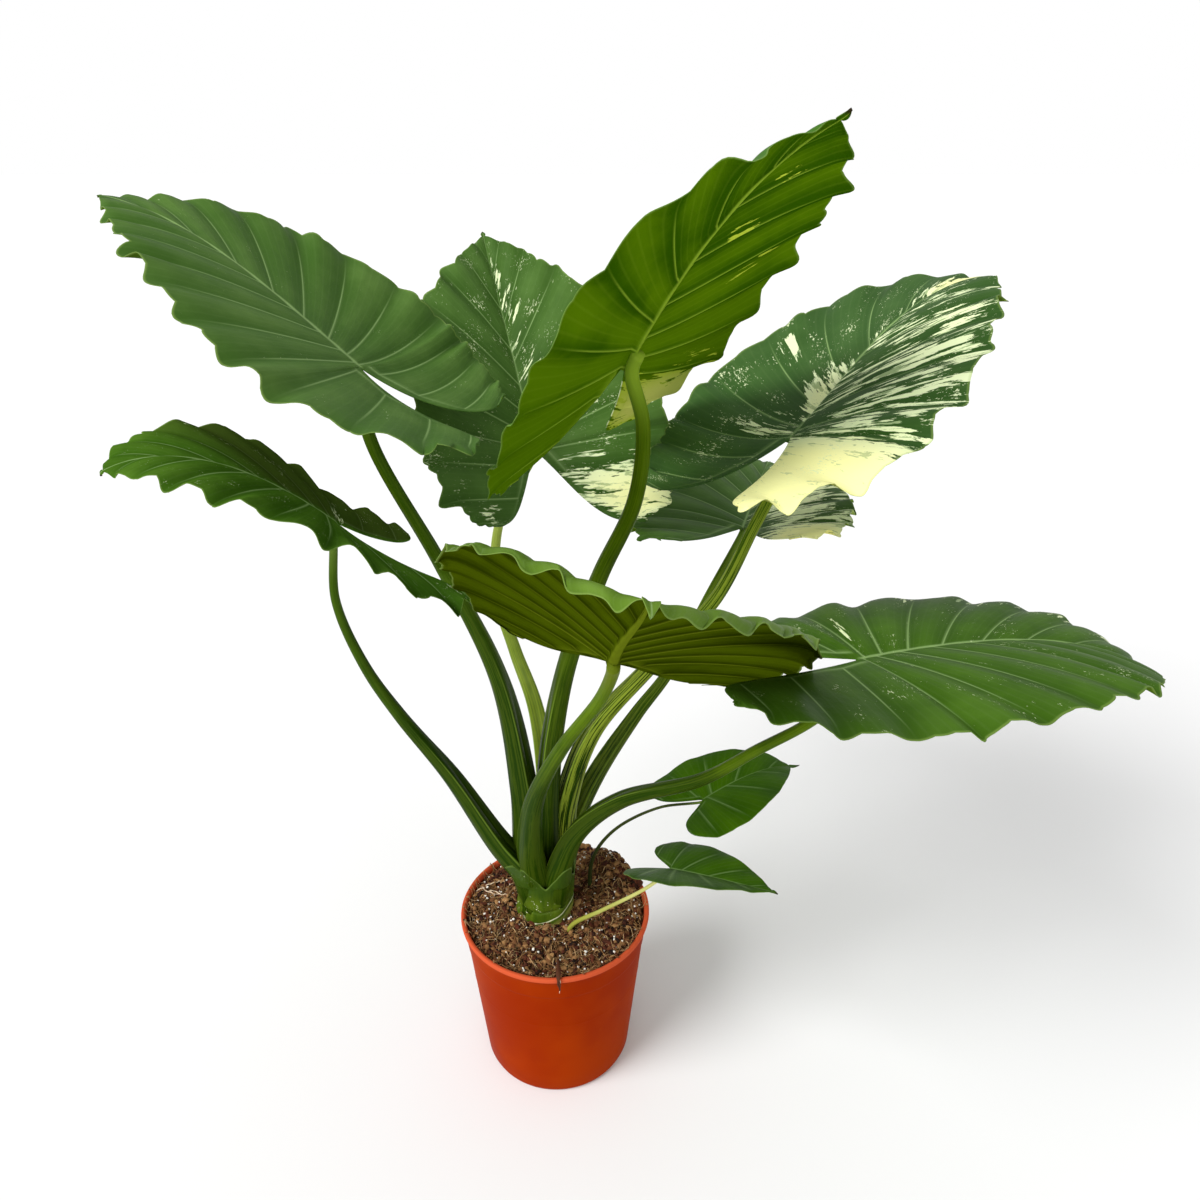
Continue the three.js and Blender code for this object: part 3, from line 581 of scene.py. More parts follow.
def buildBlade(leaf, upper, under):
    # two half sheets welded along the midrib, offset up and down along their normals, edge closed
    rows = leafRows(leaf)
    parts = []
    for side in (1, -1):
        place, row, across, s, t, vein = halfSheet(leaf, rows, side)
        sideVein, lobeRib, line = veinRidges(leaf, place, row, across, vein)
        quads = gridFaces(*row.shape)
        if side > 0:
            quads = quads[:, ::-1]
        fields = np.stack([row, across, s, t, vein, sideVein, lobeRib, line, 0 * row + side], axis=-1)
        parts.append((place.reshape(-1, 3), fields.reshape(-1, 9), quads[:, ::-1]))
    count = len(parts[0][0])
    points = np.concatenate([parts[0][0], parts[1][0]])
    fields = np.concatenate([parts[0][1], parts[1][1]])
    quads = np.concatenate([parts[0][2], parts[1][2] + count])
    triangles = np.concatenate([quads[:, [0, 1, 2]], quads[:, [0, 2, 3]]])
    first, welded, kept = weld(points, triangles)
    corners = triangles[kept]
    triangles = welded[kept]
    points = points[first]
    normals = vertexNormals(points, triangles)
    row, across, s, t, _, sideVein, lobeRib, line, side = fields[first].T
    small = 0.35 if leaf.get("small") else 1
    toApex = np.clip(s / leaf["length"], 0, 1)
    ribShare = blades["ribAtStalk"] + (blades["ribAtApex"] - blades["ribAtStalk"]) * toApex
    ribRadius = leaf["radii"][0] * ribShare
    midrib = np.sqrt(np.clip(1 - (t / (1.25 * ribRadius)) ** 2, 0, 1)) * (s > -3)
    ribLine = (1 - fadeIn(t, 0.25 * ribRadius, 0.8 * ribRadius + 0.4)) * fadeIn(s, -4, 2)
    line = np.maximum(line, ribLine)
    thinner = blades["edgeThickness"] - blades["thickness"]
    thickness = blades["thickness"] + thinner * fadeIn(across, 0.6, 1)
    ridge = np.maximum(ribRadius * midrib, blades["veinHeight"] * small * sideVein)
    ridge = np.maximum(ridge, 0.45 * leaf["radii"][0] * lobeRib)
    above = thickness / 2 + blades["upperVein"] * small * np.maximum(sideVein, midrib)
    top = points + normals * above[:, None]
    bottom = points - normals * (thickness / 2 + ridge)[:, None]
    size = len(points)
    faces, walls = closedSheet(triangles, size)
    indices = np.concatenate([np.zeros(len(triangles)), np.ones(len(triangles)), np.zeros(len(walls))])
    corner = fields[corners]
    wallFields = fields[first][np.where(walls >= size, walls - size, walls)]
    leafUv, veinUv = [], []
    for f in (corner, wallFields):
        leafUv.append(np.stack([0.5 + 0.5 * f[..., 8] * f[..., 1], f[..., 0]], axis=-1))
        veinUv.append(np.stack([f[..., 4], f[..., 1]], axis=-1))
    layers = {key: np.concatenate([made[0], made[0][:, ::-1], made[1]]) for key, made in (
        ("leaf", leafUv), ("vein", veinUv))}
    cream = creamAt(leaf, row, across, side)
    tip = leaf["tip"][0]
    dry = leaf.get("dry", 1) * fadeIn(s, leaf["length"] + 0.45 * tip, leaf["length"] + 0.9 * tip)
    values = {"cream": np.tile(cream, 2), "dry": np.tile(dry, 2), "line": np.tile(line, 2)}
    return addPiece("leaf_" + leaf["name"], np.concatenate([top, bottom]), faces, [upper, under],
                    ["blade_" + leaf["name"]], layers, values, indices)


# leaves: colour. A patch of cream is (half, row, across, reach along rows, reach across, strength)

looks = {
    # painted light: the tall leaf's underside tones, with its cream, grey and veins beneath, are brighter
    # for the light that shines through the blade
    "tall_middle": {"dark": (62, 104, 30), "light": (86, 128, 40), "underDark": (52, 92, 2),
                    "underLight": (98, 136, 6), "underVein": (160, 192, 58), "flecks": 0.3,
                    "underCream": (255, 255, 140), "underGrey": (204, 222, 70), "noise": 3.7,
                    "paintedBacklightGain": 0.9,
                    "patches": [(1, 0.84, 0.6, 0.15, 0.9, 0.95), (1, 0.26, 0.4, 0.06, 0.3, 0.5),
                                (1, 0.42, 0.75, 0.06, 0.3, 0.46), (1, 0.14, 0.5, 0.04, 0.5, 0.48)]},
    "upper_left": {"dark": (62, 96, 34), "light": (92, 124, 58), "flecks": 0.8, "noise": 7.4,
                   "patches": []},
    "upper_right": {"dark": (54, 86, 38), "light": (74, 106, 54), "flecks": 1.04, "noise": 11.1,
                    "patches": [(-1, 0.36, 0.6, 0.5, 1.4, 0.53), (-1, 0.9, 0.5, 0.17, 1.2, 1.2),
                                (1, 0.48, 0.05, 0.14, 0.45, 0.45), (1, 0.06, 0.4, 0.08, 0.7, 0.8),
                                (1, 0.3, 0.1, 0.2, 0.3, 0.38), (1, 0.62, 0.3, 0.04, 0.5, 0.4),
                                (1, 0.42, 0.8, 0.05, 0.25, 0.44), (1, 0.24, 0.85, 0.06, 0.2, 0.46)]},
    "back": {"dark": (60, 92, 34), "light": (88, 122, 56), "flecks": 1.0, "noise": 14.8,
             "patches": [(-1, 0.88, 0.6, 0.16, 0.9, 0.75), (-1, 0.4, 0.2, 0.3, 0.35, 0.42),
                         (1, 0.92, 0.5, 0.09, 0.6, 0.5), (-1, 0.12, 0.2, 0.12, 0.4, 0.34)]},
    "low_back": {"dark": (58, 90, 30), "light": (86, 120, 52), "flecks": 0.8, "noise": 18.5,
                 "patches": [(-1, 0.5, 0.6, 0.5, 0.9, 0.58), (-1, 0.95, 0.6, 0.14, 0.9, 0.8)]},
    # painted shade: the front leaf's underside tones are darker, for the shade beneath it
    "front": {"dark": (80, 110, 28), "light": (112, 144, 56), "underDark": (38, 50, 0),
              "underLight": (68, 84, 3), "underVein": (104, 118, 22), "flecks": 0.2, "noise": 22.2,
              "patches": []},
    "low_right": {"dark": (52, 86, 12), "light": (80, 117, 34), "flecks": 0.95, "noise": 25.9,
                  "patches": [(1, 0.28, 0.92, 0.3, 0.16, 0.52), (1, 0.62, 0.4, 0.1, 0.4, 0.42)]},
    "low_left": {"dark": (56, 92, 20), "light": (88, 126, 40), "flecks": 0.92, "noise": 29.6,
                 "matte": True, "paintedShadeHalf": (-1, (56, 64, 24), 0.7),
                 "patches": [(1, 0.92, 0.5, 0.08, 0.5, 0.44), (-1, 0.72, 0.3, 0.16, 0.4, 0.4)]},
    "small_upper": {"dark": (44, 80, 0), "light": (68, 106, 2), "flecks": 0.3, "noise": 33.3, "patches": []},
    "small_lower": {"dark": (40, 72, 0), "light": (64, 100, 4), "flecks": 0.4, "noise": 37.0, "patches": []},
}

tones = {
    "deep": (32, 62, 12), "vein": (142, 172, 108), "cream": (253, 250, 176),
    "paleCream": (222, 234, 186), "grey": (150, 172, 122), "edge": (150, 176, 92), "dry": (44, 36, 20),
    "underDark": (56, 84, 14), "underLight": (84, 112, 30), "underVein": (126, 154, 64),
    "underCream": (236, 232, 140), "underGrey": (158, 176, 90),
    "roughness": 0.46, "specular": 0.05,
}


def creamAt(leaf, row, across, side):
    # bell-shaped patches over row and across, each for one half, added up
    total = np.zeros_like(row)
    for half, rowAt, acrossAt, rowReach, acrossReach, strength in looks[leaf["name"]]["patches"]:
        bell = np.exp(-((row - rowAt) / rowReach) ** 2 - ((across - acrossAt) / acrossReach) ** 2)
        total += np.where(side * half > 0, strength * bell, 0)
    return np.clip(total, 0, 1)


def leafMaterial(leaf, under):
    # one side of a blade: green, then its veins, then cream streaks, flecks, pale edge and dry tip
    look = looks[leaf["name"]]

    def tone(key):
        return linear(*look.get(key, tones.get(key)))

    made, tree, shader = newMaterial(("under_" if under else "upper_") + leaf["name"])
    seed = look["noise"]
    veinUv = uvOf(tree, "vein")
    number, across, _ = apart(tree, veinUv)
    place = placeOf(tree)
    small = leaf.get("small", False)
    dark, light, vein = ("underDark", "underLight", "underVein") if under else ("dark", "light", "vein")

    # green: mottled, with painted light: lighter on the swellings between side veins
    mottle = noiseOf(tree, stretch(tree, place, (1, 1, 1), (seed, 0, 0)), 14, 4, 0.6)
    paintedSwellLight = calc(tree, "SINE", calc(tree, "MULTIPLY", calc(tree, "FRACT", number), math.pi))
    half, row, _ = apart(tree, uvOf(tree, "leaf"))
    shade = calc(tree, "MULTIPLY_ADD", paintedSwellLight, 0.42 if under else 0.2, calc(tree, "MULTIPLY", mottle, 0.8))
    # painted light: lighter towards the stalk and darker at the tip, for light shining through the blade
    shade = calc(tree, "MULTIPLY_ADD", calc(tree, "SUBTRACT", row, 0.4), look.get("paintedBacklightGain", 0), shade)
    color = blendColor(tree, ease(tree, shade, 0.35, 0.95), tone(dark), tone(light))
    fine = calc(tree, "FRACT", calc(tree, "MULTIPLY_ADD", number, 6.0, 0.5))
    fine = ease(tree, calc(tree, "ABSOLUTE", calc(tree, "SUBTRACT", fine, 0.5)), 0.03, 0.18, 1.0, 0.0)
    color = blendColor(tree, calc(tree, "MULTIPLY", fine, 0.07 if under else 0.03), color, tone(vein))
    # painted shade: a dark band beside each side vein, where the creases fall
    fromVein = calc(tree, "FRACT", calc(tree, "ADD", number, 0.5))
    fromVein = calc(tree, "ABSOLUTE", calc(tree, "SUBTRACT", fromVein, 0.5))
    paintedVeinShade = ease(tree, fromVein, 0.03, 0.16, 1.0, 0.0)
    paintedVeinShade = calc(tree, "MULTIPLY", paintedVeinShade, ease(tree, across, 0.3, 1.0, 1.0, 0.0))
    color = blendColor(tree, calc(tree, "MULTIPLY", paintedVeinShade, 0.3), color, tone(dark))
    lines = calc(tree, "MULTIPLY", valueOf(tree, "line"), 0.35 if small else 0.8)
    color = blendColor(tree, lines, color, tone(vein))

    if "paintedShadeHalf" in look:
        # painted shade on the half that lies in the shade of other leaves
        side, shadow, amount = look["paintedShadeHalf"]
        inHalf = ease(tree, calc(tree, "MULTIPLY", calc(tree, "SUBTRACT", half, 0.5), side), 0.0, 0.05)
        amount = ease(tree, row, 0.2, 0.4, 0.0, amount)
        color = blendColor(tree, calc(tree, "MULTIPLY", inHalf, amount), color, linear(*shadow))

    if not under:
        # deeper green between the streaks
        deep = calc(tree, "MULTIPLY", ease(tree, valueOf(tree, "cream"), 0.2, 0.7), 0.6)
        color = blendColor(tree, deep, color, tone("deep"))

    # cream: streaks along the side veins where a noise passes the patch's level
    broad = noiseOf(tree, stretch(tree, veinUv, (1.3, 0.8, 1), (seed, seed, 0)), 2.0, 9, 0.62, 0.6)
    thin = noiseOf(tree, stretch(tree, veinUv, (3.6, 1.2, 1), (seed, 4, 0)), 2.4, 6, 0.62, 0.3)
    streak = calc(tree, "MULTIPLY_ADD", broad, 0.54, calc(tree, "MULTIPLY", thin, 0.46))
    level = calc(tree, "MULTIPLY_ADD", valueOf(tree, "cream"), -0.42, 0.72)
    over = calc(tree, "SUBTRACT", streak, level)
    creamy = ease(tree, over, 0.0, 0.012)
    inside = noiseOf(tree, stretch(tree, veinUv, (2.4, 1.3, 1), (0, seed, 3)), 2.6, 7, 0.65, 0.4)
    least = 0.56 if under else 0.52
    greyer = calc(tree, "SUBTRACT", inside, calc(tree, "MULTIPLY", over, 0.5))
    grey = ease(tree, greyer, least, least + 0.015)
    yellow = ease(tree, valueOf(tree, "cream"), 0.45, 0.9)
    if under:
        pale = blendColor(tree, yellow, tone("underGrey"), tone("underCream"))
        mixed = tone("underGrey")
    else:
        pale = blendColor(tree, yellow, tone("paleCream"), tone("cream"))
        mixed = blendColor(tree, calc(tree, "MULTIPLY", yellow, 0.5), tone("grey"), tone("cream"))
    color = blendColor(tree, creamy, color, blendColor(tree, grey, pale, mixed))

    # small flecks in loose groups
    groups = noiseOf(tree, stretch(tree, veinUv, (1, 1.4, 1), (seed, 1, 5)), 2.0, 2)
    speck = noiseOf(tree, stretch(tree, veinUv, (6, 7, 1), (seed, 2, 7)), 4.0, 4, 0.75)
    gate = calc(tree, "MULTIPLY_ADD", groups, -0.62 * look["flecks"], 0.98)
    flecked = ease(tree, calc(tree, "SUBTRACT", speck, gate), 0.0, 0.015)
    flecked = calc(tree, "MULTIPLY", flecked, 0.3 if under else 0.8)
    color = blendColor(tree, flecked, color, tone("paleCream"))
    # a pale line along the margin, and the dry tip
    color = blendColor(tree, ease(tree, across, 0.982, 0.996, 0.0, 0.3), color, tone("edge"))
    color = blendColor(tree, valueOf(tree, "dry"), color, tone("dry"))
    tree.links.new(color, shader.inputs["Base Color"])

    # relief: fine veins, grain and a broader pucker
    grain = noiseOf(tree, place, 900, 2)
    pucker = noiseOf(tree, stretch(tree, veinUv, (5, 7, 1), (seed, 0, 0)), 1.0, 3)
    height = calc(tree, "MULTIPLY_ADD", fine, 0.12, calc(tree, "MULTIPLY", grain, 0.2))
    height = calc(tree, "MULTIPLY_ADD", pucker, 3.0, height)
    tree.links.new(bumpOf(tree, height, 0.35, 0.0006), shader.inputs["Normal"])
    rough = calc(tree, "MULTIPLY_ADD", mottle, 0.2, tones["roughness"] - 0.1 + (0.14 if under else 0))
    tree.links.new(rough, shader.inputs["Roughness"])
    shine = tones["specular"] * (1.5 if small else 0.8)
    dull = under or "matte" in look
    shader.inputs["Specular IOR Level"].default_value = 0.0 if dull else shine
    return made


for leaf in leaves:
    buildBlade(leaf, leafMaterial(leaf, False), leafMaterial(leaf, True))
print("leaves made")


# stalks

stalks = {
    "rings": 112, "sides": 44, "wingAngle": 0.95, "wingWidth": 0.17, "wingHeight": 0.2,
    "channel": 0.42, "channelWidth": 0.6, "groove": 0.06, "sheathStart": 0.5, "sheathFull": 0.72,
    "dark": (30, 54, 2), "light": (66, 96, 10), "youngDark": (32, 56, 0), "youngLight": (84, 112, 2),
    "paleDark": (78, 106, 18), "paleLight": (170, 186, 92), "wing": (132, 160, 60),
    "stripe": (150, 168, 52), "plainStripes": 0.08,
    "striped": {"upper_right": 0.75, "back": 0.5, "low_left": 0.06, "low_back": 0.25},
    "shaded": {"front": 0.12, "low_right": 0.1, "low_left": 0.1},
    "footSink": 38, "footShare": 0.6, "smallShare": 0.8, "ripples": 0.015,
    "own": {"small_lower": ((148, 150, 60), (208, 206, 134)), "small_upper": ((34, 40, 20), (66, 78, 40))},
}

stem = {
    "center": (-11, 2), "radius": 33, "side": 31.5, "foot": 150, "sides": 132, "rows": 110,
    "outline": [(150, 27), (186, 33), (204, 31.6), (212, 31), (226, 31.6), (240, 33), (256, 33.5),
                (300, 33.5)],
    "low": 246, "rise": 32, "reach": 0.4, "cover": 0.7, "coverHeights": (226, 250),
    "inside": 24, "insideFoot": 236, "wall": 1.6,
    "scars": (201, 214), "scarDepth": 1.2, "dark": (42, 70, 5), "light": (98, 120, 24),
    "scar": (196, 196, 96), "scarLineAndGlint": (236, 238, 200), "sheath": (40, 66, 8),
}


def splineAt(places, share):
    # centripetal Catmull-Rom curve, its ends extended straight, read at even shares of its length
    ends = [2 * places[0] - places[1], *places, 2 * places[-1] - places[-2]]
    walked = []
    for i in range(1, len(ends) - 2):
        p0, p1, p2, p3 = ends[i - 1:i + 3]
        gap0, gap1, gap2 = (math.sqrt(np.linalg.norm(b - a)) for a, b in ((p0, p1), (p1, p2), (p2, p3)))
        leave = ((p1 - p0) / gap0 - (p2 - p0) / (gap0 + gap1) + (p2 - p1) / gap1) * gap1
        arrive = ((p2 - p1) / gap1 - (p3 - p1) / (gap1 + gap2) + (p3 - p2) / gap2) * gap1
        x = np.linspace(0, 1, 60, endpoint=i == len(ends) - 3)[:, None]
        walked.append(p1 + leave * x + (3 * (p2 - p1) - 2 * leave - arrive) * x ** 2
                      + (2 * (p1 - p2) + leave + arrive) * x ** 3)
    walked = np.concatenate(walked)
    length = np.concatenate([[0], np.cumsum(np.linalg.norm(np.diff(walked, axis=0), axis=1))])
    tracks = [np.interp(share * length[-1], length, walked[:, axis]) for axis in range(3)]
    return np.stack(tracks, axis=-1), length[-1]


def radiusAlong(radii, f):
    # the parabola through the three given radii at the top, the middle and the foot
    top, middle, foot = radii
    return top * (1 - f) * (1 - 2 * f) + 4 * middle * f * (1 - f) + foot * f * (2 * f - 1)


def stalkRoute(leaf):
    # from under the midrib down to the stem, and the length so far, then on down into the stem,
    # thinner and flush with its side
    forward, _, up = leafAxes(leaf)
    origin = np.array(leaf["at"], float)
    top = leaf["radii"][0]
    depth = blades["ribAtStalk"] * top + 0.6
    ends = [origin + 3 * top * forward - (depth + 0.1 * top) * up, origin - (depth + 0.6 * top) * up]
    route = ends + [np.array(place, float) for place in leaf["route"]]
    _, shown = splineAt(route, np.array([0.0]))
    if not leaf.get("small"):
        foot = route[-1]
        away = foot[:2] - np.array(stem["center"])
        away = away / max(np.linalg.norm(away), 1e-6)
        for sink, share in ((0.5, 0.8), (1.0, stalks["footShare"])):
            flush = np.array(stem["center"]) + away * max(stem["side"] - share * leaf["radii"][2], 3)
            route.append(np.array([*flush, foot[2] - sink * stalks["footSink"]]))
    return route, shown


def buildStalk(leaf, material):
    # a polar profile carried along the route: round, with a shallow groove on the side that faces
    # the plant's middle, which opens lower down into a channel between two thin wings
    origin = np.array(leaf["at"], float)
    small = leaf.get("small")
    route, shown = stalkRoute(leaf)
    rings = 60 if small else stalks["rings"]
    sides = 16 if small else stalks["sides"]
    f = np.linspace(0, 1, rings)
    center, length = splineAt(route, f)
    tangent = unit(np.gradient(center, axis=0))
    outward = np.array([*(origin[:2] - np.array(stem["center"])), 0])
    inner = -unit(outward[None])[0] * 0.75 + np.array([0, 0, 0.66])
    inner = unit(inner - tangent * (tangent @ inner)[:, None])
    beside = np.cross(tangent, inner)
    angle = np.linspace(-math.pi, math.pi, sides, endpoint=False)
    shownShare = f * length / shown
    sunk = fadeIn(shownShare, 1, length / shown) if length > shown + 1 else 0 * f
    sheathed = fadeIn(shownShare, stalks["sheathStart"], stalks["sheathFull"]) * (1 - sunk)
    sheathed = 0 * f if small else sheathed
    share, theta = np.meshgrid(sheathed, angle, indexing="ij")
    dip = stalks["groove"] + stalks["channel"] * share
    fromWing = (abs(theta) - stalks["wingAngle"]) / stalks["wingWidth"]
    wing = stalks["wingHeight"] * share * np.exp(-fromWing ** 2)
    shape = 1 - dip * np.exp(-(theta / stalks["channelWidth"]) ** 2) + wing
    shape += stalks["ripples"] * np.sin(9 * theta + 14 * f[:, None]) * (0 if small else 1)
    radius = radiusAlong(leaf["radii"], np.minimum(shownShare, 1)) * (1 - (1 - stalks["footShare"]) * sunk)
    radius = radius[:, None] * shape * (stalks["smallShare"] if small else 1)
    points = (center[:, None] + radius[..., None] * (
        np.cos(theta)[..., None] * inner[:, None] + np.sin(theta)[..., None] * beside[:, None]))
    points = np.concatenate([points.reshape(-1, 3), center[:1], center[-1:]])
    triangles = closedTube(rings, sides)
    turn = np.concatenate([abs(theta).ravel(), [0, 0]]) / math.pi
    along = np.concatenate([np.repeat(f, sides), [0, 1]])
    sheath = np.concatenate([np.repeat(sheathed, sides), [0, 0]])
    flat = np.stack([turn, along * length / 100], axis=-1)
    # the faces are turned over if they look inwards
    skin = triangles[: (rings - 1) * sides]
    a, b, c = (points[skin[:, i]] for i in range(3))
    outwardFacing = np.einsum("ij,ij->i", np.cross(b - a, c - a), a - center[skin[:, 0] // sides])
    if outwardFacing.mean() < 0:
        triangles = triangles[:, ::-1]
    return addPiece("petiole_" + leaf["name"], points, triangles, [material],
                    ["stalk_" + leaf["name"]], {"stalk": flat[triangles]},
                    {"sheath": sheath, "along": along})


def stalkMaterial(leaf):
    # strands along the stalk over a broader blotch, darker towards the foot, with cream stripes
    kind = {"stalk": "", "young_stalk": "young", "pale_stalk": "pale"}[leaf["stalk"]]
    darkKey, lightKey = (kind + "Dark", kind + "Light") if kind else ("dark", "light")
    made, tree, shader = newMaterial("stalk_" + leaf["name"])
    stalkUv = uvOf(tree, "stalk")
    turn, _, _ = apart(tree, stalkUv)
    place = placeOf(tree)
    seed = 2.3 * (1 + [entry["name"] for entry in leaves].index(leaf["name"]))
    strands = noiseOf(tree, stretch(tree, stalkUv, (26, 0.9, 1), (seed, seed, 0)), 1.6, 4, 0.6)
    blotch = noiseOf(tree, stretch(tree, place, (1, 1, 1), (seed, 0, 0)), 14, 3)
    mix = calc(tree, "MULTIPLY_ADD", strands, 0.5, calc(tree, "MULTIPLY", blotch, 0.66))
    mix = calc(tree, "SUBTRACT", mix, calc(tree, "MULTIPLY", valueOf(tree, "along"), 0.75))
    # painted shade: stalks that lie under a leaf are darker
    mix = calc(tree, "SUBTRACT", mix, stalks["shaded"].get(leaf["name"], 0))
    dark, light = stalks["own"].get(leaf["name"], (stalks[darkKey], stalks[lightKey]))
    color = blendColor(tree, ease(tree, mix, 0.0, 0.62), linear(*dark), linear(*light))
    bands = noiseOf(tree, stretch(tree, stalkUv, (9, 0.5, 1), (seed, 3, 0)), 1.7, 7, 0.7, 0.5)
    amount = stalks["striped"].get(leaf["name"], stalks["plainStripes"])
    striped = calc(tree, "MULTIPLY", ease(tree, bands, 0.46, 0.52), amount)
    color = blendColor(tree, striped, color, linear(*stalks["stripe"]))
    edge = calc(tree, "ABSOLUTE", calc(tree, "SUBTRACT", turn, stalks["wingAngle"] / math.pi))
    edge = calc(tree, "MULTIPLY", ease(tree, edge, 0.008, 0.03, 1.0, 0.0), valueOf(tree, "sheath"))
    color = blendColor(tree, calc(tree, "MULTIPLY", edge, 0.45), color, linear(*stalks["wing"]))
    midrib = looks[leaf["name"]].get("underVein", tones["underVein"])
    nearTop = ease(tree, valueOf(tree, "along"), 0.01, 0.14, 0.75, 0.0)
    color = blendColor(tree, nearTop, color, linear(*midrib))
    tree.links.new(color, shader.inputs["Base Color"])
    tree.links.new(bumpOf(tree, strands, 0.3, 0.0008), shader.inputs["Normal"])
    shader.inputs["Roughness"].default_value = 0.38
    shader.inputs["Specular IOR Level"].default_value = 0.04
    return made


for leaf in leaves:
    buildStalk(leaf, stalkMaterial(leaf))
print("stalks made")


# stem

def stalkCover(angle, height):
    # how far out of the stem's middle the outermost stalk reaches at each angle and height:
    # d·cos(a) + √(r² - d²·sin²(a)), where d and r are its place and radius and a the angle between
    cover = 0 * height
    for leaf in leaves:
        if leaf.get("small"):
            continue
        route, shown = stalkRoute(leaf)
        f = np.linspace(0, 1, 200)
        path, length = splineAt(route, f)
        x, y, radius = (np.interp(height, path[::-1, 2], track[::-1]) for track in (
            path[:, 0] - stem["center"][0], path[:, 1] - stem["center"][1],
            radiusAlong(leaf["radii"], np.minimum(f * length / shown, 1))))
        away, turn = np.hypot(x, y), angle - np.arctan2(y, x)
        inside = radius ** 2 - (away * np.sin(turn)) ** 2
        reach = away * np.cos(turn) + np.sqrt(np.maximum(inside, 0))
        cover = np.maximum(cover, np.where(inside > 0, reach, 0))
    return cover


def buildStem(material):
    # turned outline with slow lobes and a groove at each leaf scar, pushed out over the stalks'
    # outer sides, up to an edge that rises as a bell with each stalk, then over and down inside
    angle = np.linspace(0, tau, stem["sides"], endpoint=False)
    edge = 0 * angle
    for leaf in leaves:
        away = np.array(leaf["route"][-1][:2], float) - np.array(stem["center"])
        turn = (angle - math.atan2(away[1], away[0]) + math.pi) % tau - math.pi
        bell = np.exp(-(turn / stem["reach"]) ** 2) * (0 if leaf.get("small") else 1)
        edge = np.maximum(edge, bell)
    edge = stem["low"] + stem["rise"] * edge
    share = np.linspace(0, 1, stem["rows"])[:, None]
    height = stem["foot"] + (edge - stem["foot"]) * share
    outline = np.interp(height, *np.array(stem["outline"], float).T)
    covered = fadeIn(height, *stem["coverHeights"])
    cover = (stalkCover(angle + 0 * height, height) + stem["cover"]) * covered
    gap = np.clip(0.5 + (cover - outline) / 6, 0, 1)
    outline = outline + (cover - outline) * gap + 1.5 * gap * (1 - gap)
    lobes = 0.8 * np.sin(3 * angle + height / 17) + 0.4 * np.sin(7 * angle - height / 9)
    radius = outline + lobes * (1 - covered)
    for i, scar in enumerate(stem["scars"]):
        level = scar + 2.5 * np.sin(angle + 2.1 * i)
        radius -= stem["scarDepth"] * np.exp(-((height - level) / 1.6) ** 2)
    wall = stem["wall"]
    over = [(edge + 0.5, radius[-1] - 0.4 * wall), (edge + 0.2, radius[-1] - 0.9 * wall),
            (edge - 4, radius[-1] - 1.3 * wall), (0 * edge + stem["insideFoot"], 0 * edge + stem["inside"])]
    height = np.concatenate([height, [h for h, _ in over]])
    radius = np.concatenate([radius, [r for _, r in over]])
    x = stem["center"][0] + radius * np.cos(angle)
    y = stem["center"][1] + radius * np.sin(angle)
    points = np.stack([x, y, height], axis=-1).reshape(-1, 3)
    ends = np.array([[*stem["center"], stem["foot"]], [*stem["center"], stem["insideFoot"] + 4]])
    triangles = closedTube(len(height), stem["sides"])
    rim = np.concatenate([fadeIn(height - edge, -2.2, -0.8).ravel(), [0, 0]])
    return addPiece("stem_base", np.concatenate([points, ends]), triangles, [material], ["stem"],
                    values={"rim": rim})


def stemMaterial():
    # fine strands over blotches, paler below the slanted scar, with a bright line along it, and white glints
    # that are a painted highlight
    made, tree, shader = newMaterial("stem_skin")
    place = placeOf(tree)
    x, _, z = apart(tree, place)
    strands = noiseOf(tree, stretch(tree, place, (1, 1, 0.15)), 160, 4)
    blotch = noiseOf(tree, place, 30, 3)
    mix = calc(tree, "ADD", calc(tree, "MULTIPLY", strands, 0.5), calc(tree, "MULTIPLY", blotch, 0.5))
    color = blendColor(tree, ease(tree, mix, 0.22, 0.85), linear(*stem["dark"]), linear(*stem["light"]))
    # darker above, where the stalks' sheaths begin
    color = blendColor(tree, ease(tree, z, 0.22, 0.25, 0.0, 0.75), color, linear(*stem["sheath"]))
    slant = calc(tree, "MULTIPLY_ADD", x, -0.35, z)
    low = ease(tree, calc(tree, "MULTIPLY_ADD", blotch, 0.012, slant), 0.203, 0.209, 1.0, 0.0)
    color = blendColor(tree, calc(tree, "MULTIPLY", low, 0.5), color, linear(*stem["scar"]))
    edge = calc(tree, "SUBTRACT", calc(tree, "MULTIPLY_ADD", blotch, 0.004, slant), 0.2075)
    edge = calc(tree, "ABSOLUTE", edge)
    color = blendColor(tree, ease(tree, edge, 0.0004, 0.0011, 0.8, 0.0), color, linear(*stem["scarLineAndGlint"]))
    rim = calc(tree, "MULTIPLY", valueOf(tree, "rim"), 0.22)
    color = blendColor(tree, rim, color, linear(*stalks["wing"]))
    # painted highlight: white glints over the paler blotches
    scarLineAndGlint = noiseOf(tree, stretch(tree, place, (1, 1, 1), (0.4, 0, 0)), 210, 4, 0.7)
    paintedGlint = calc(tree, "MULTIPLY", ease(tree, scarLineAndGlint, 0.62, 0.66), ease(tree, blotch, 0.5, 0.58))
    color = blendColor(tree, paintedGlint, color, linear(*stem["scarLineAndGlint"]))
    tree.links.new(color, shader.inputs["Base Color"])
    tree.links.new(bumpOf(tree, strands, 0.3, 0.0008), shader.inputs["Normal"])
    shader.inputs["Roughness"].default_value = 0.36
    shader.inputs["Specular IOR Level"].default_value = 0.2
    return made


buildStem(stemMaterial())
print("stem made")


# pot

pot = {
    "rim": 105, "height": 198, "base": 83, "wall": 2, "lip": 14, "lipOverhang": 3, "floorLift": 4,
    "floor": 2, "padRadius": 14, "footRing": 6, "drainRadius": 6, "drainCircle": 50, "drains": 8,
    "sides": 192, "stepHeight": 166, "lineHeight": 118,
    "body": (156, 50, 0), "deep": (142, 38, 0), "paintedRimHighlight": (198, 84, 50), "dust": (172, 78, 8),
}


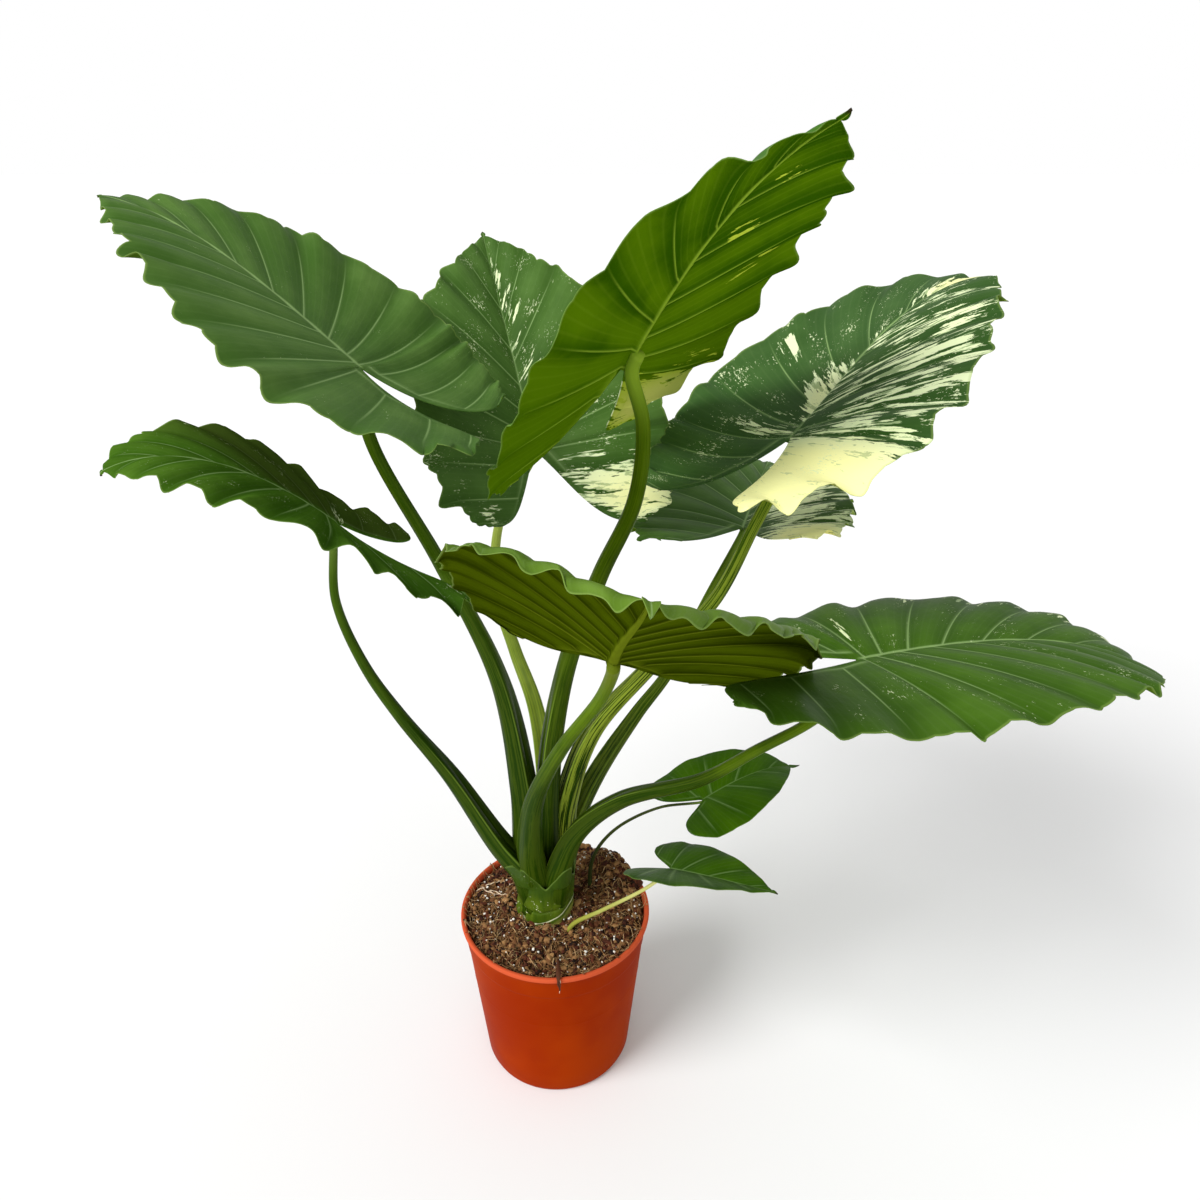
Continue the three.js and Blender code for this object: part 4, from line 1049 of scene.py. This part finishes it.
def potOutline():
    # corners of the section, from the middle of the underside over pad and foot ring, up the wall
    # of radius base + slope·z with its line and step, round the lip and down inside to the floor
    slope = (pot["rim"] - pot["lipOverhang"] - pot["base"]) / pot["height"]

    def outer(z):
        return pot["base"] + slope * z

    floorTop = pot["floorLift"] + pot["floor"]
    lipFoot = pot["height"] - pot["lip"]
    step, line = pot["stepHeight"], pot["lineHeight"]
    rim, height, wall = pot["rim"], pot["height"], pot["wall"]
    base, pad = pot["base"], pot["padRadius"]
    footRing = base - pot["footRing"]
    return [
        (0, 0), (pad, 0), (pad + 0.6, 0.3), (pad + 2, pot["floorLift"]),
        (footRing - 2, pot["floorLift"]), (footRing - 0.4, 0.4), (footRing + 0.4, 0),
        (base - 4.5, 0), (base - 2.6, 0.5), (base - 1.1, 1.8), (base - 0.3, 3.8),
        (outer(6), 6), (outer(30), 30), (outer(70), 70),
        (outer(line - 6), line - 6), (outer(line - 2), line - 2), (outer(line - 1), line - 1),
        (outer(line) + 0.2, line), (outer(line + 1), line + 1), (outer(line + 2), line + 2),
        (outer(line + 6), line + 6), (outer(step - 8), step - 8), (outer(step - 3), step - 3),
        (outer(step - 1.4), step - 1.4), (outer(step - 0.4) + 0.5, step - 0.4),
        (outer(step) + 0.7, step + 0.4), (outer(step) + 0.8, step + 1.6), (outer(step + 5) + 0.7, step + 5),
        (outer(lipFoot - 4) + 0.65, lipFoot - 4), (outer(lipFoot + 2) + 0.7, lipFoot + 2),
        (rim - 2.7, height - 8), (rim - 2.1, height - 6.4), (rim - 1.3, height - 5.6),
        (rim - 0.2, height - 5), (rim, height - 3.6), (rim - 0.1, height - 1.8),
        (rim - 0.9, height - 0.3), (rim - 1.9, height), (rim - 3.2, height - 0.1),
        (rim - 4.2, height - 0.8), (rim - pot["lipOverhang"] - wall - 0.3, height - 2.4),
        (outer(step) - wall - 0.4, step), (outer(70) - wall, 70),
        (outer(floorTop) - wall, floorTop + 2), (outer(floorTop) - wall - 2, floorTop),
        (0, floorTop),
    ]


def turned(outline, sides):
    # each corner of the outline carried once round the upright axis, its ends closed to a point
    corners = np.array(outline, float)
    angle = np.linspace(0, tau, sides, endpoint=False)
    ring = corners[1:-1]
    points = np.stack([ring[:, :1] * np.cos(angle), ring[:, :1] * np.sin(angle),
                       ring[:, 1:] + 0 * angle], axis=-1).reshape(-1, 3)
    ends = np.array([[0, 0, corners[0, 1]], [0, 0, corners[-1, 1]]])
    return np.concatenate([points, ends]), closedTube(len(ring), sides)


def buildPot(material):
    # the turned outline less a circle of drain holes: plugs at even angles, half a step from 0
    points, triangles = turned(potOutline(), pot["sides"])
    piece = addPiece("nursery_pot", points, triangles, [material], ["pot"])
    drill = bpy.data.meshes.new("drill")
    holes, faces = [], []
    hole, holeFaces = turned([(0, -4), (pot["drainRadius"], -4), (pot["drainRadius"], 12), (0, 12)], 24)
    for i in range(pot["drains"]):
        angle = tau * (i + 0.5) / pot["drains"]
        shift = np.array([pot["drainCircle"] * math.cos(angle), pot["drainCircle"] * math.sin(angle), 0])
        faces.append(holeFaces + len(hole) * i)
        holes.append(hole + shift)
    drill.from_pydata((np.concatenate(holes) * mm).tolist(), [], np.concatenate(faces).tolist())
    cutter = bpy.data.objects.new("drill", drill)
    bpy.context.scene.collection.objects.link(cutter)
    cut = piece.modifiers.new("drains", "BOOLEAN")
    cut.object = cutter
    cut.solver = "EXACT"
    bpy.context.view_layer.update()
    drilled = bpy.data.meshes.new_from_object(piece.evaluated_get(bpy.context.evaluated_depsgraph_get()))
    piece.modifiers.clear()
    piece.data = drilled
    bpy.data.objects.remove(cutter)
    drilled.shade_smooth()
    drilled.set_sharp_from_angle(angle=math.radians(40))
    return piece


def potMaterial():
    # cloudy plastic with faint ring marks, a painted highlight along the rim and a little dust
    made, tree, shader = newMaterial("pot_plastic")
    place = placeOf(tree)
    _, _, z = apart(tree, place)
    cloud = noiseOf(tree, place, 9, 3)
    ringMarks = noiseOf(tree, stretch(tree, place, (0.02, 0.02, 1)), 420, 3)
    color = blendColor(tree, ease(tree, cloud, 0.35, 0.65), linear(*pot["deep"]), linear(*pot["body"]))
    # painted highlight: the top of the rim is paler, where the light catches it
    color = blendColor(tree, ease(tree, z, 0.1918, 0.1928), color, linear(*pot["paintedRimHighlight"]))
    dust = noiseOf(tree, stretch(tree, place, (1, 1, 0.4)), 60, 5, 0.7)
    dusty = calc(tree, "MULTIPLY", ease(tree, dust, 0.6, 0.75), 0.2)
    color = blendColor(tree, dusty, color, linear(*pot["dust"]))
    tree.links.new(color, shader.inputs["Base Color"])
    height = calc(tree, "ADD", calc(tree, "MULTIPLY", ringMarks, 0.6), noiseOf(tree, place, 700, 2))
    tree.links.new(bumpOf(tree, height, 0.12, 0.0005), shader.inputs["Normal"])
    tree.links.new(calc(tree, "MULTIPLY_ADD", cloud, 0.15, 0.36), shader.inputs["Roughness"])
    shader.inputs["Specular IOR Level"].default_value = 0.008
    return made


buildPot(potMaterial())
print("pot made")


# soil, bark chips, coco fibres and perlite

soil = {
    "edge": 193.5, "mound": 6, "heap": 27, "heapCenter": (60, 62), "heapSpread": 34, "radius": 98.4,
    "bottomRadius": 80.5, "bottom": 6.4, "rings": 72, "sides": 200, "rimTop": 198.6, "smoothEdge": (92, 98),
    "clods": 340, "chips": 1500, "fibres": 1900, "perlite": 420, "crumbs": 2600, "overRim": 60,
    "heapClods": 70,
    "dark": (26, 14, 8), "brown": (112, 76, 44), "tan": (184, 140, 90), "red": (88, 42, 24),
    "white": (244, 240, 230), "root": (222, 190, 160),
}


def soilHeight(x, y):
    # the mound falls with the square of the distance from the middle, the heap is a bell
    away = np.hypot(x - soil["heapCenter"][0], y - soil["heapCenter"][1]) / soil["heapSpread"]
    edge = np.hypot(x, y) / soil["radius"]
    heap = soil["heap"] * np.exp(-away ** 2) * (1 - 0.45 * fadeIn(edge, 0.85, 1.0))
    return soil["edge"] + soil["mound"] * (1 - edge ** 2) + heap


def ripple(x, y):
    # a few crossed sines of falling height, for the lumps between the chips
    total = 0 * x
    for i, (size, height) in enumerate(((37, 1.6), (21, 1.6), (12, 1.3), (6.5, 0.9))):
        turn = 1.3 * i + 0.4
        u = x * math.cos(turn) + y * math.sin(turn)
        v = y * math.cos(turn) - x * math.sin(turn)
        total = total + height * np.sin(tau * u / size + i) * np.sin(tau * v / (1.2 * size) + 2 * i)
    return total


def surfaceAt(x, y):
    # the soil's top: mound and heap with the ripple on them, which fades out before the pot's wall
    return soilHeight(x, y) + ripple(x, y) * (1 - fadeIn(np.hypot(x, y), *soil["smoothEdge"])) - 2


def groundAt(x, y):
    # height of the ground a piece lies on: the soil, or the pot's rim beyond it
    ground = surfaceAt(x, y)
    beyond = fadeIn(np.hypot(x, y), soil["radius"] - 0.5, soil["radius"] + 1.5)
    return ground + (np.maximum(soil["rimTop"], ground) - ground) * beyond


def buildSoilBody(material):
    # rings of points over the soil's top, one more ring at the pot's floor, closed at both ends
    radius, angle = np.meshgrid(np.linspace(0, soil["radius"], soil["rings"] + 1)[1:],
                                np.linspace(0, tau, soil["sides"], endpoint=False), indexing="ij")
    x, y = radius * np.cos(angle), radius * np.sin(angle)
    top = np.stack([x, y, surfaceAt(x, y)], axis=-1)
    wallAngle = angle[0]
    low = np.stack([soil["bottomRadius"] * np.cos(wallAngle), soil["bottomRadius"] * np.sin(wallAngle),
                    soil["bottom"] + 0 * wallAngle], axis=-1)
    points = np.concatenate([top, low[None]]).reshape(-1, 3)
    triangles = closedTube(soil["rings"] + 1, soil["sides"])[:, ::-1]
    ends = np.array([[0, 0, soilHeight(0, 0) - 2], [0, 0, soil["bottom"]]])
    return addPiece("soil_body", np.concatenate([points, ends]), triangles, [material], ["soil"])


def scattered(count, reach, inside=0.0):
    # seeded places over the soil, even over its area, clear of the stem
    places = np.empty((0, 2))
    while len(places) < count:
        radius = reach * np.sqrt(rng.random(count))
        angle = tau * rng.random(count)
        found = np.stack([radius * np.cos(angle), radius * np.sin(angle)], axis=1)
        fromStem = np.hypot(found[:, 0] - stem["center"][0], found[:, 1] - stem["center"][1])
        places = np.concatenate([places, found[fromStem > stem["radius"] - 2 + inside]])
    return places[:count]


def turns(count, tilt):
    # one rotation matrix each: a free turn about the upright axis after a tilt up to the given angle
    spin, lean, way = tau * rng.random(count), tilt * rng.random(count), tau * rng.random(count)
    axis = np.stack([np.cos(way), np.sin(way), 0 * way], axis=1)
    x, y, _ = axis.T
    c, s = np.cos(lean), np.sin(lean)
    rest = 1 - c
    leaning = np.stack([c + x * x * rest, x * y * rest, y * s,
                        x * y * rest, c + y * y * rest, -x * s,
                        -y * s, x * s, c], axis=1).reshape(-1, 3, 3)
    c, s = np.cos(spin), np.sin(spin)
    zero, one = 0 * c, 0 * c + 1
    turning = np.stack([c, -s, zero, s, c, zero, zero, zero, one], axis=1).reshape(-1, 3, 3)
    return leaning @ turning


def lumpMesh(level):
    # an even ball of triangles: 12 corners at level 1, 42 at level 2
    ball = bmesh.new()
    bmesh.ops.create_icosphere(ball, subdivisions=level, radius=1)
    corners = np.array([v.co for v in ball.verts])
    faces = np.array([[v.index for v in face.verts] for face in ball.faces])
    ball.free()
    return corners, faces


def buildLumps(name, material, places, sizes, tilt, sink, rough, level=1):
    # copies of one small lump, each with its own three half axes, dents, turn and shade
    corners, faces = lumpMesh(level)
    count = len(places)
    dents = 1 + rough * (rng.random((count, len(corners), 1)) - 0.5)
    shapes = corners[None] * dents * sizes[:, None]
    shapes = np.einsum("nij,nkj->nki", turns(count, tilt), shapes)
    z = groundAt(places[:, 0], places[:, 1]) + sink * sizes[:, 2]
    centers = np.concatenate([places, z[:, None]], axis=1)
    points = (shapes + centers[:, None]).reshape(-1, 3)
    allFaces = (faces[None] + len(corners) * np.arange(count)[:, None, None]).reshape(-1, 3)
    shade = np.repeat(rng.random(count), len(corners))
    return addPiece(name, points, allFaces, [material], values={"shade": shade}, smooth=level > 1)


def buildFibres(material):
    # thin three-sided strands: a bent line from each place, lifted at its middle
    count = soil["fibres"]
    places = scattered(count, soil["radius"] - 3, 3)
    length = 7 + 22 * rng.random(count) ** 2
    heading = tau * rng.random(count)
    bend = 2.6 * (rng.random(count) - 0.5)
    thickness = 0.16 + 0.34 * rng.random(count) ** 2
    lift = 0.8 + 4.5 * rng.random(count) ** 1.5
    share = np.linspace(0, 1, 7)
    angle = heading[:, None] + bend[:, None] * share
    step = length[:, None] / 6
    x = places[:, :1] + np.cumsum(step * np.cos(angle), axis=1)
    y = places[:, 1:] + np.cumsum(step * np.sin(angle), axis=1)
    out = np.hypot(x, y)
    most = pot["rim"] - 4 + 1.5 * rng.random((count, 1))
    pull = np.minimum(1, most / out)
    x, y = x * pull, y * pull
    z = groundAt(x, y) + 0.6 + lift[:, None] * np.sin(math.pi * share)
    return addStrands("coco_fibres", np.stack([x, y, z], axis=-1), thickness, material)


def addStrands(name, line, thickness, material):
    # three-sided tubes along lines of points, closed at both ends by shrinking nearly to a point
    count, steps, _ = line.shape
    along = unit(np.gradient(line, axis=1))
    side = unit(np.cross(along, np.array([0.0, 0.0, 1.0])) + 1e-6)
    above = np.cross(side, along)
    taper = np.sin(math.pi * np.clip(np.linspace(0, 1, steps), 0.02, 0.98)) ** 0.35
    ringAngle = np.arange(3) * tau / 3
    offset = np.cos(ringAngle)[:, None] * side[:, :, None] + np.sin(ringAngle)[:, None] * above[:, :, None]
    points = line[:, :, None] + (thickness[:, None, None, None] * taper[:, None, None]) * offset
    quads = gridFaces(steps, 3, True)
    triangles = np.concatenate([quads[:, [0, 2, 1]], quads[:, [0, 3, 2]],
                                [[0, 1, 2]], [[3 * steps - 1, 3 * steps - 2, 3 * steps - 3]]])
    faces = (triangles[None] + 3 * steps * np.arange(count)[:, None, None]).reshape(-1, 3)
    shade = np.repeat(rng.random(count), 3 * steps)
    return addPiece(name, points.reshape(-1, 3), faces, [material], values={"shade": shade})


def buildRoots(material):
    # three thin roots lying on the soil at the left, and the strand that hangs over the front rim
    share = np.linspace(0, 1, 14)
    starts = np.array([(-94, 26), (-88, 34), (-78, 24)], float)
    ends = np.array([(-62, 20), (-58, 38), (-52, 14)], float)
    flat = starts[:, None] + (ends - starts)[:, None] * share[:, None]
    flat[..., 1] += np.array([3, -4, 2])[:, None] * np.sin(2 * math.pi * share)
    z = groundAt(flat[..., 0], flat[..., 1]) + 2.6 + 1.6 * np.sin(math.pi * share)
    lying = np.concatenate([flat, z[..., None]], axis=-1)
    hang = np.stack([8 + 1.5 * np.sin(3 * share), -97 - 9.5 * fadeIn(share, 0, 0.4),
                     201 + 1.5 * np.sin(math.pi * share) - 20 * share ** 1.6], axis=-1)
    lines = np.concatenate([lying, hang[None]])
    return addStrands("pale_roots", lines, np.array([0.8, 0.7, 0.6, 0.5]), material)


def buildHusk(material):
    # a dry husk bent over the front rim: a strip with a rounded outline along an arc, both sides
    along, across = np.meshgrid(np.linspace(0, 1, 30), np.linspace(-1, 1, 9), indexing="ij")
    width = 2.3 * np.sin(math.pi * np.clip(along, 0.03, 0.97)) ** 0.5
    width = width * (1 - 0.4 * along + 0.2 * np.sin(19 * along))
    x = 6 + 3 * along + width * across
    y = -78 - 28.4 * fadeIn(along, 0, 0.62)
    z = 198 + 5.5 * np.sin(math.pi * np.minimum(along / 0.62, 1))
    z = z - 11 * np.clip((along - 0.6) / 0.4, 0, 1) ** 1.3
    y = y - 1.2 * across ** 2
    z = z - 1.3 * across ** 2
    sheet = np.stack([x, y, z], axis=-1)
    normal = unit(np.cross(np.gradient(sheet, axis=0), np.gradient(sheet, axis=1)))
    points = np.concatenate([(sheet + 0.35 * normal).reshape(-1, 3), (sheet - 0.35 * normal).reshape(-1, 3)])
    quads = gridFaces(*along.shape)
    triangles = np.concatenate([quads[:, [0, 1, 2]], quads[:, [0, 2, 3]]])
    faces, _ = closedSheet(triangles, along.size)
    shade = np.full(len(points), 0.3)
    return addPiece("husk", points, faces[:, ::-1], [material], values={"shade": shade})


def crumbMaterial(name, stops, scale, roughness):
    # one tone for each lump, broken up by a finer noise
    made, tree, shader = newMaterial(name)
    place = placeOf(tree)
    ramp = tree.nodes.new("ShaderNodeValToRGB")
    while len(ramp.color_ramp.elements) < len(stops):
        ramp.color_ramp.elements.new(0.5)
    for element, (at, tone) in zip(ramp.color_ramp.elements, stops):
        element.position = at
        element.color = linear(*tone)
    noise = noiseOf(tree, place, scale, 4, 0.65)
    mix = calc(tree, "MULTIPLY_ADD", valueOf(tree, "shade"), 0.7, calc(tree, "MULTIPLY", noise, 0.34))
    tree.links.new(mix, ramp.inputs[0])
    tree.links.new(ramp.outputs[0], shader.inputs["Base Color"])
    tree.links.new(bumpOf(tree, noise, 0.6, 0.0008), shader.inputs["Normal"])
    shader.inputs["Roughness"].default_value = roughness
    shader.inputs["Specular IOR Level"].default_value = 0.2
    return made


def bodyMaterial():
    # dark fines between the chips, dark to brown by a fine noise
    made, tree, shader = newMaterial("soil_ground")
    place = placeOf(tree)
    noise = noiseOf(tree, place, 260, 6, 0.7)
    color = blendColor(tree, ease(tree, noise, 0.35, 0.7), linear(*soil["dark"]), linear(*soil["brown"]))
    tree.links.new(color, shader.inputs["Base Color"])
    tree.links.new(bumpOf(tree, noise, 1.0, 0.002), shader.inputs["Normal"])
    shader.inputs["Roughness"].default_value = 0.9
    shader.inputs["Specular IOR Level"].default_value = 0.1
    return made


def spread(low, high, power, count):
    # seeded sizes from low to high, most of them small for a high power
    return low + (high - low) * rng.random(count) ** power


barkTones = [(0.2, soil["dark"]), (0.44, soil["red"]), (0.66, soil["brown"]), (0.98, soil["tan"])]
bark = crumbMaterial("bark", barkTones, 300, 0.85)
buildSoilBody(bodyMaterial())
clods, chips, crumbs, bits = (soil[key] for key in ("clods", "chips", "crumbs", "perlite"))
clodSizes = np.stack([spread(2.8, 6.6, 2.2, clods), spread(2.2, 4.4, 1.5, clods),
                      spread(1.8, 3.2, 1, clods)], axis=1)
buildLumps("bark_clods", bark, scattered(clods, soil["radius"] - 7, 4), clodSizes, 0.9, 0.45, 0.45, 2)
chipSizes = np.stack([spread(1.8, 6, 2, chips), spread(1.2, 3, 1, chips),
                      spread(0.6, 1.5, 1, chips)], axis=1)
buildLumps("bark_chips", bark, scattered(chips, soil["radius"] - 4), chipSizes, 1.1, 1.3, 0.7)
crumbSizes = spread(0.5, 1.3, 1, (crumbs, 1)) * (0.7 + 0.6 * rng.random((crumbs, 3)))
buildLumps("bark_crumbs", bark, scattered(crumbs, soil["radius"] - 1), crumbSizes, 1.5, 1.5, 0.7)
heaped, spilled = soil["heapClods"], soil["overRim"]
heapTurn = np.radians(spread(18, 82, 1, heaped))
heapPlaces = np.stack([np.cos(heapTurn), np.sin(heapTurn)], axis=1) * spread(93, 102, 1, (heaped, 1))
heapSizes = np.stack([spread(3, 7, 1.5, heaped), spread(2.4, 5, 1.5, heaped),
                      spread(2.4, 4.4, 1, heaped)], axis=1)
buildLumps("heap_clods", bark, heapPlaces, heapSizes, 0.9, 0.7, 0.45, 2)
rimTurn = tau * rng.random(spilled)
rimPlaces = np.stack([np.cos(rimTurn), np.sin(rimTurn)], axis=1) * spread(97, 103.5, 1, (spilled, 1))
rimSizes = spread(0.5, 1.7, 1.5, (spilled, 1)) * (0.7 + 0.6 * rng.random((spilled, 3)))
buildLumps("rim_crumbs", bark, rimPlaces, rimSizes, 1.5, 0.6, 0.7)
perliteSizes = spread(0.5, 1.5, 2, (bits, 1)) * (0.8 + 0.4 * rng.random((bits, 3)))
white = crumbMaterial("perlite_white", [(0.0, (206, 200, 190)), (0.6, soil["white"])], 500, 0.7)
buildLumps("perlite", white, scattered(bits, soil["radius"] - 4), perliteSizes, 1.5, 2.4, 0.5)
fibreTones = [(0.0, (84, 54, 30)), (0.45, (150, 108, 62)), (1.0, (216, 186, 138))]
fibre = crumbMaterial("coco_fibre", fibreTones, 300, 0.8)
buildFibres(fibre)
buildRoots(crumbMaterial("root_skin", [(0.0, soil["root"]), (1.0, (240, 220, 190))], 300, 0.6))
buildHusk(crumbMaterial("husk_skin", [(0.0, (44, 22, 12)), (0.6, (92, 50, 28))], 200, 0.8))
print("soil made")


# floor and light

studio = {"floor": 30.0, "floorTone": 0.86, "world": 0.62,
          "lamps": [("key", 2.7, 32, (-0.62, -0.42, 0.66)), ("fill", 0.8, 80, (0.15, -1.0, 0.12))]}


def addFloor():
    # one wide square of pale paper under the pot
    half = studio["floor"]
    corners = [(-half, -half, 0), (half, -half, 0), (half, half, 0), (-half, half, 0)]
    mesh = bpy.data.meshes.new("floor")
    mesh.from_pydata(corners, [], [(0, 1, 2, 3)])
    floor = bpy.data.objects.new("floor", mesh)
    bpy.context.scene.collection.objects.link(floor)
    made, _, shader = newMaterial("floor_paper")
    tone = studio["floorTone"]
    shader.inputs["Base Color"].default_value = (tone, tone, tone, 1)
    shader.inputs["Roughness"].default_value = 0.9
    shader.inputs["Specular IOR Level"].default_value = 0.0
    mesh.materials.append(made)


def addLight():
    # a white world, dimmer as light than the camera sees it, and two wide suns aimed at the middle
    world = bpy.data.worlds.new("studio")
    bpy.context.scene.world = world
    world.use_nodes = True
    tree = world.node_tree
    seen = tree.nodes.new("ShaderNodeLightPath").outputs["Is Camera Ray"]
    back = tree.nodes["Background"]
    back.inputs["Color"].default_value = (1, 1, 1, 1)
    strength = calc(tree, "MULTIPLY_ADD", seen, 1 - studio["world"], studio["world"])
    feed(tree, back.inputs["Strength"], strength)
    for name, power, width, place in studio["lamps"]:
        data = bpy.data.lights.new(name, "SUN")
        data.energy = power
        data.angle = math.radians(width)
        lamp = bpy.data.objects.new(name, data)
        bpy.context.scene.collection.objects.link(lamp)
        aim = np.array(place)
        lamp.location = tuple(3 * aim)
        tilt = math.acos(aim[2] / np.linalg.norm(aim))
        lamp.rotation_euler = (tilt, 0, math.atan2(aim[1], aim[0]) + math.pi / 2)


addFloor()
addLight()
bpy.context.scene.view_settings.view_transform = "Standard"
print("floor and light made")

bpy.context.view_layer.update()
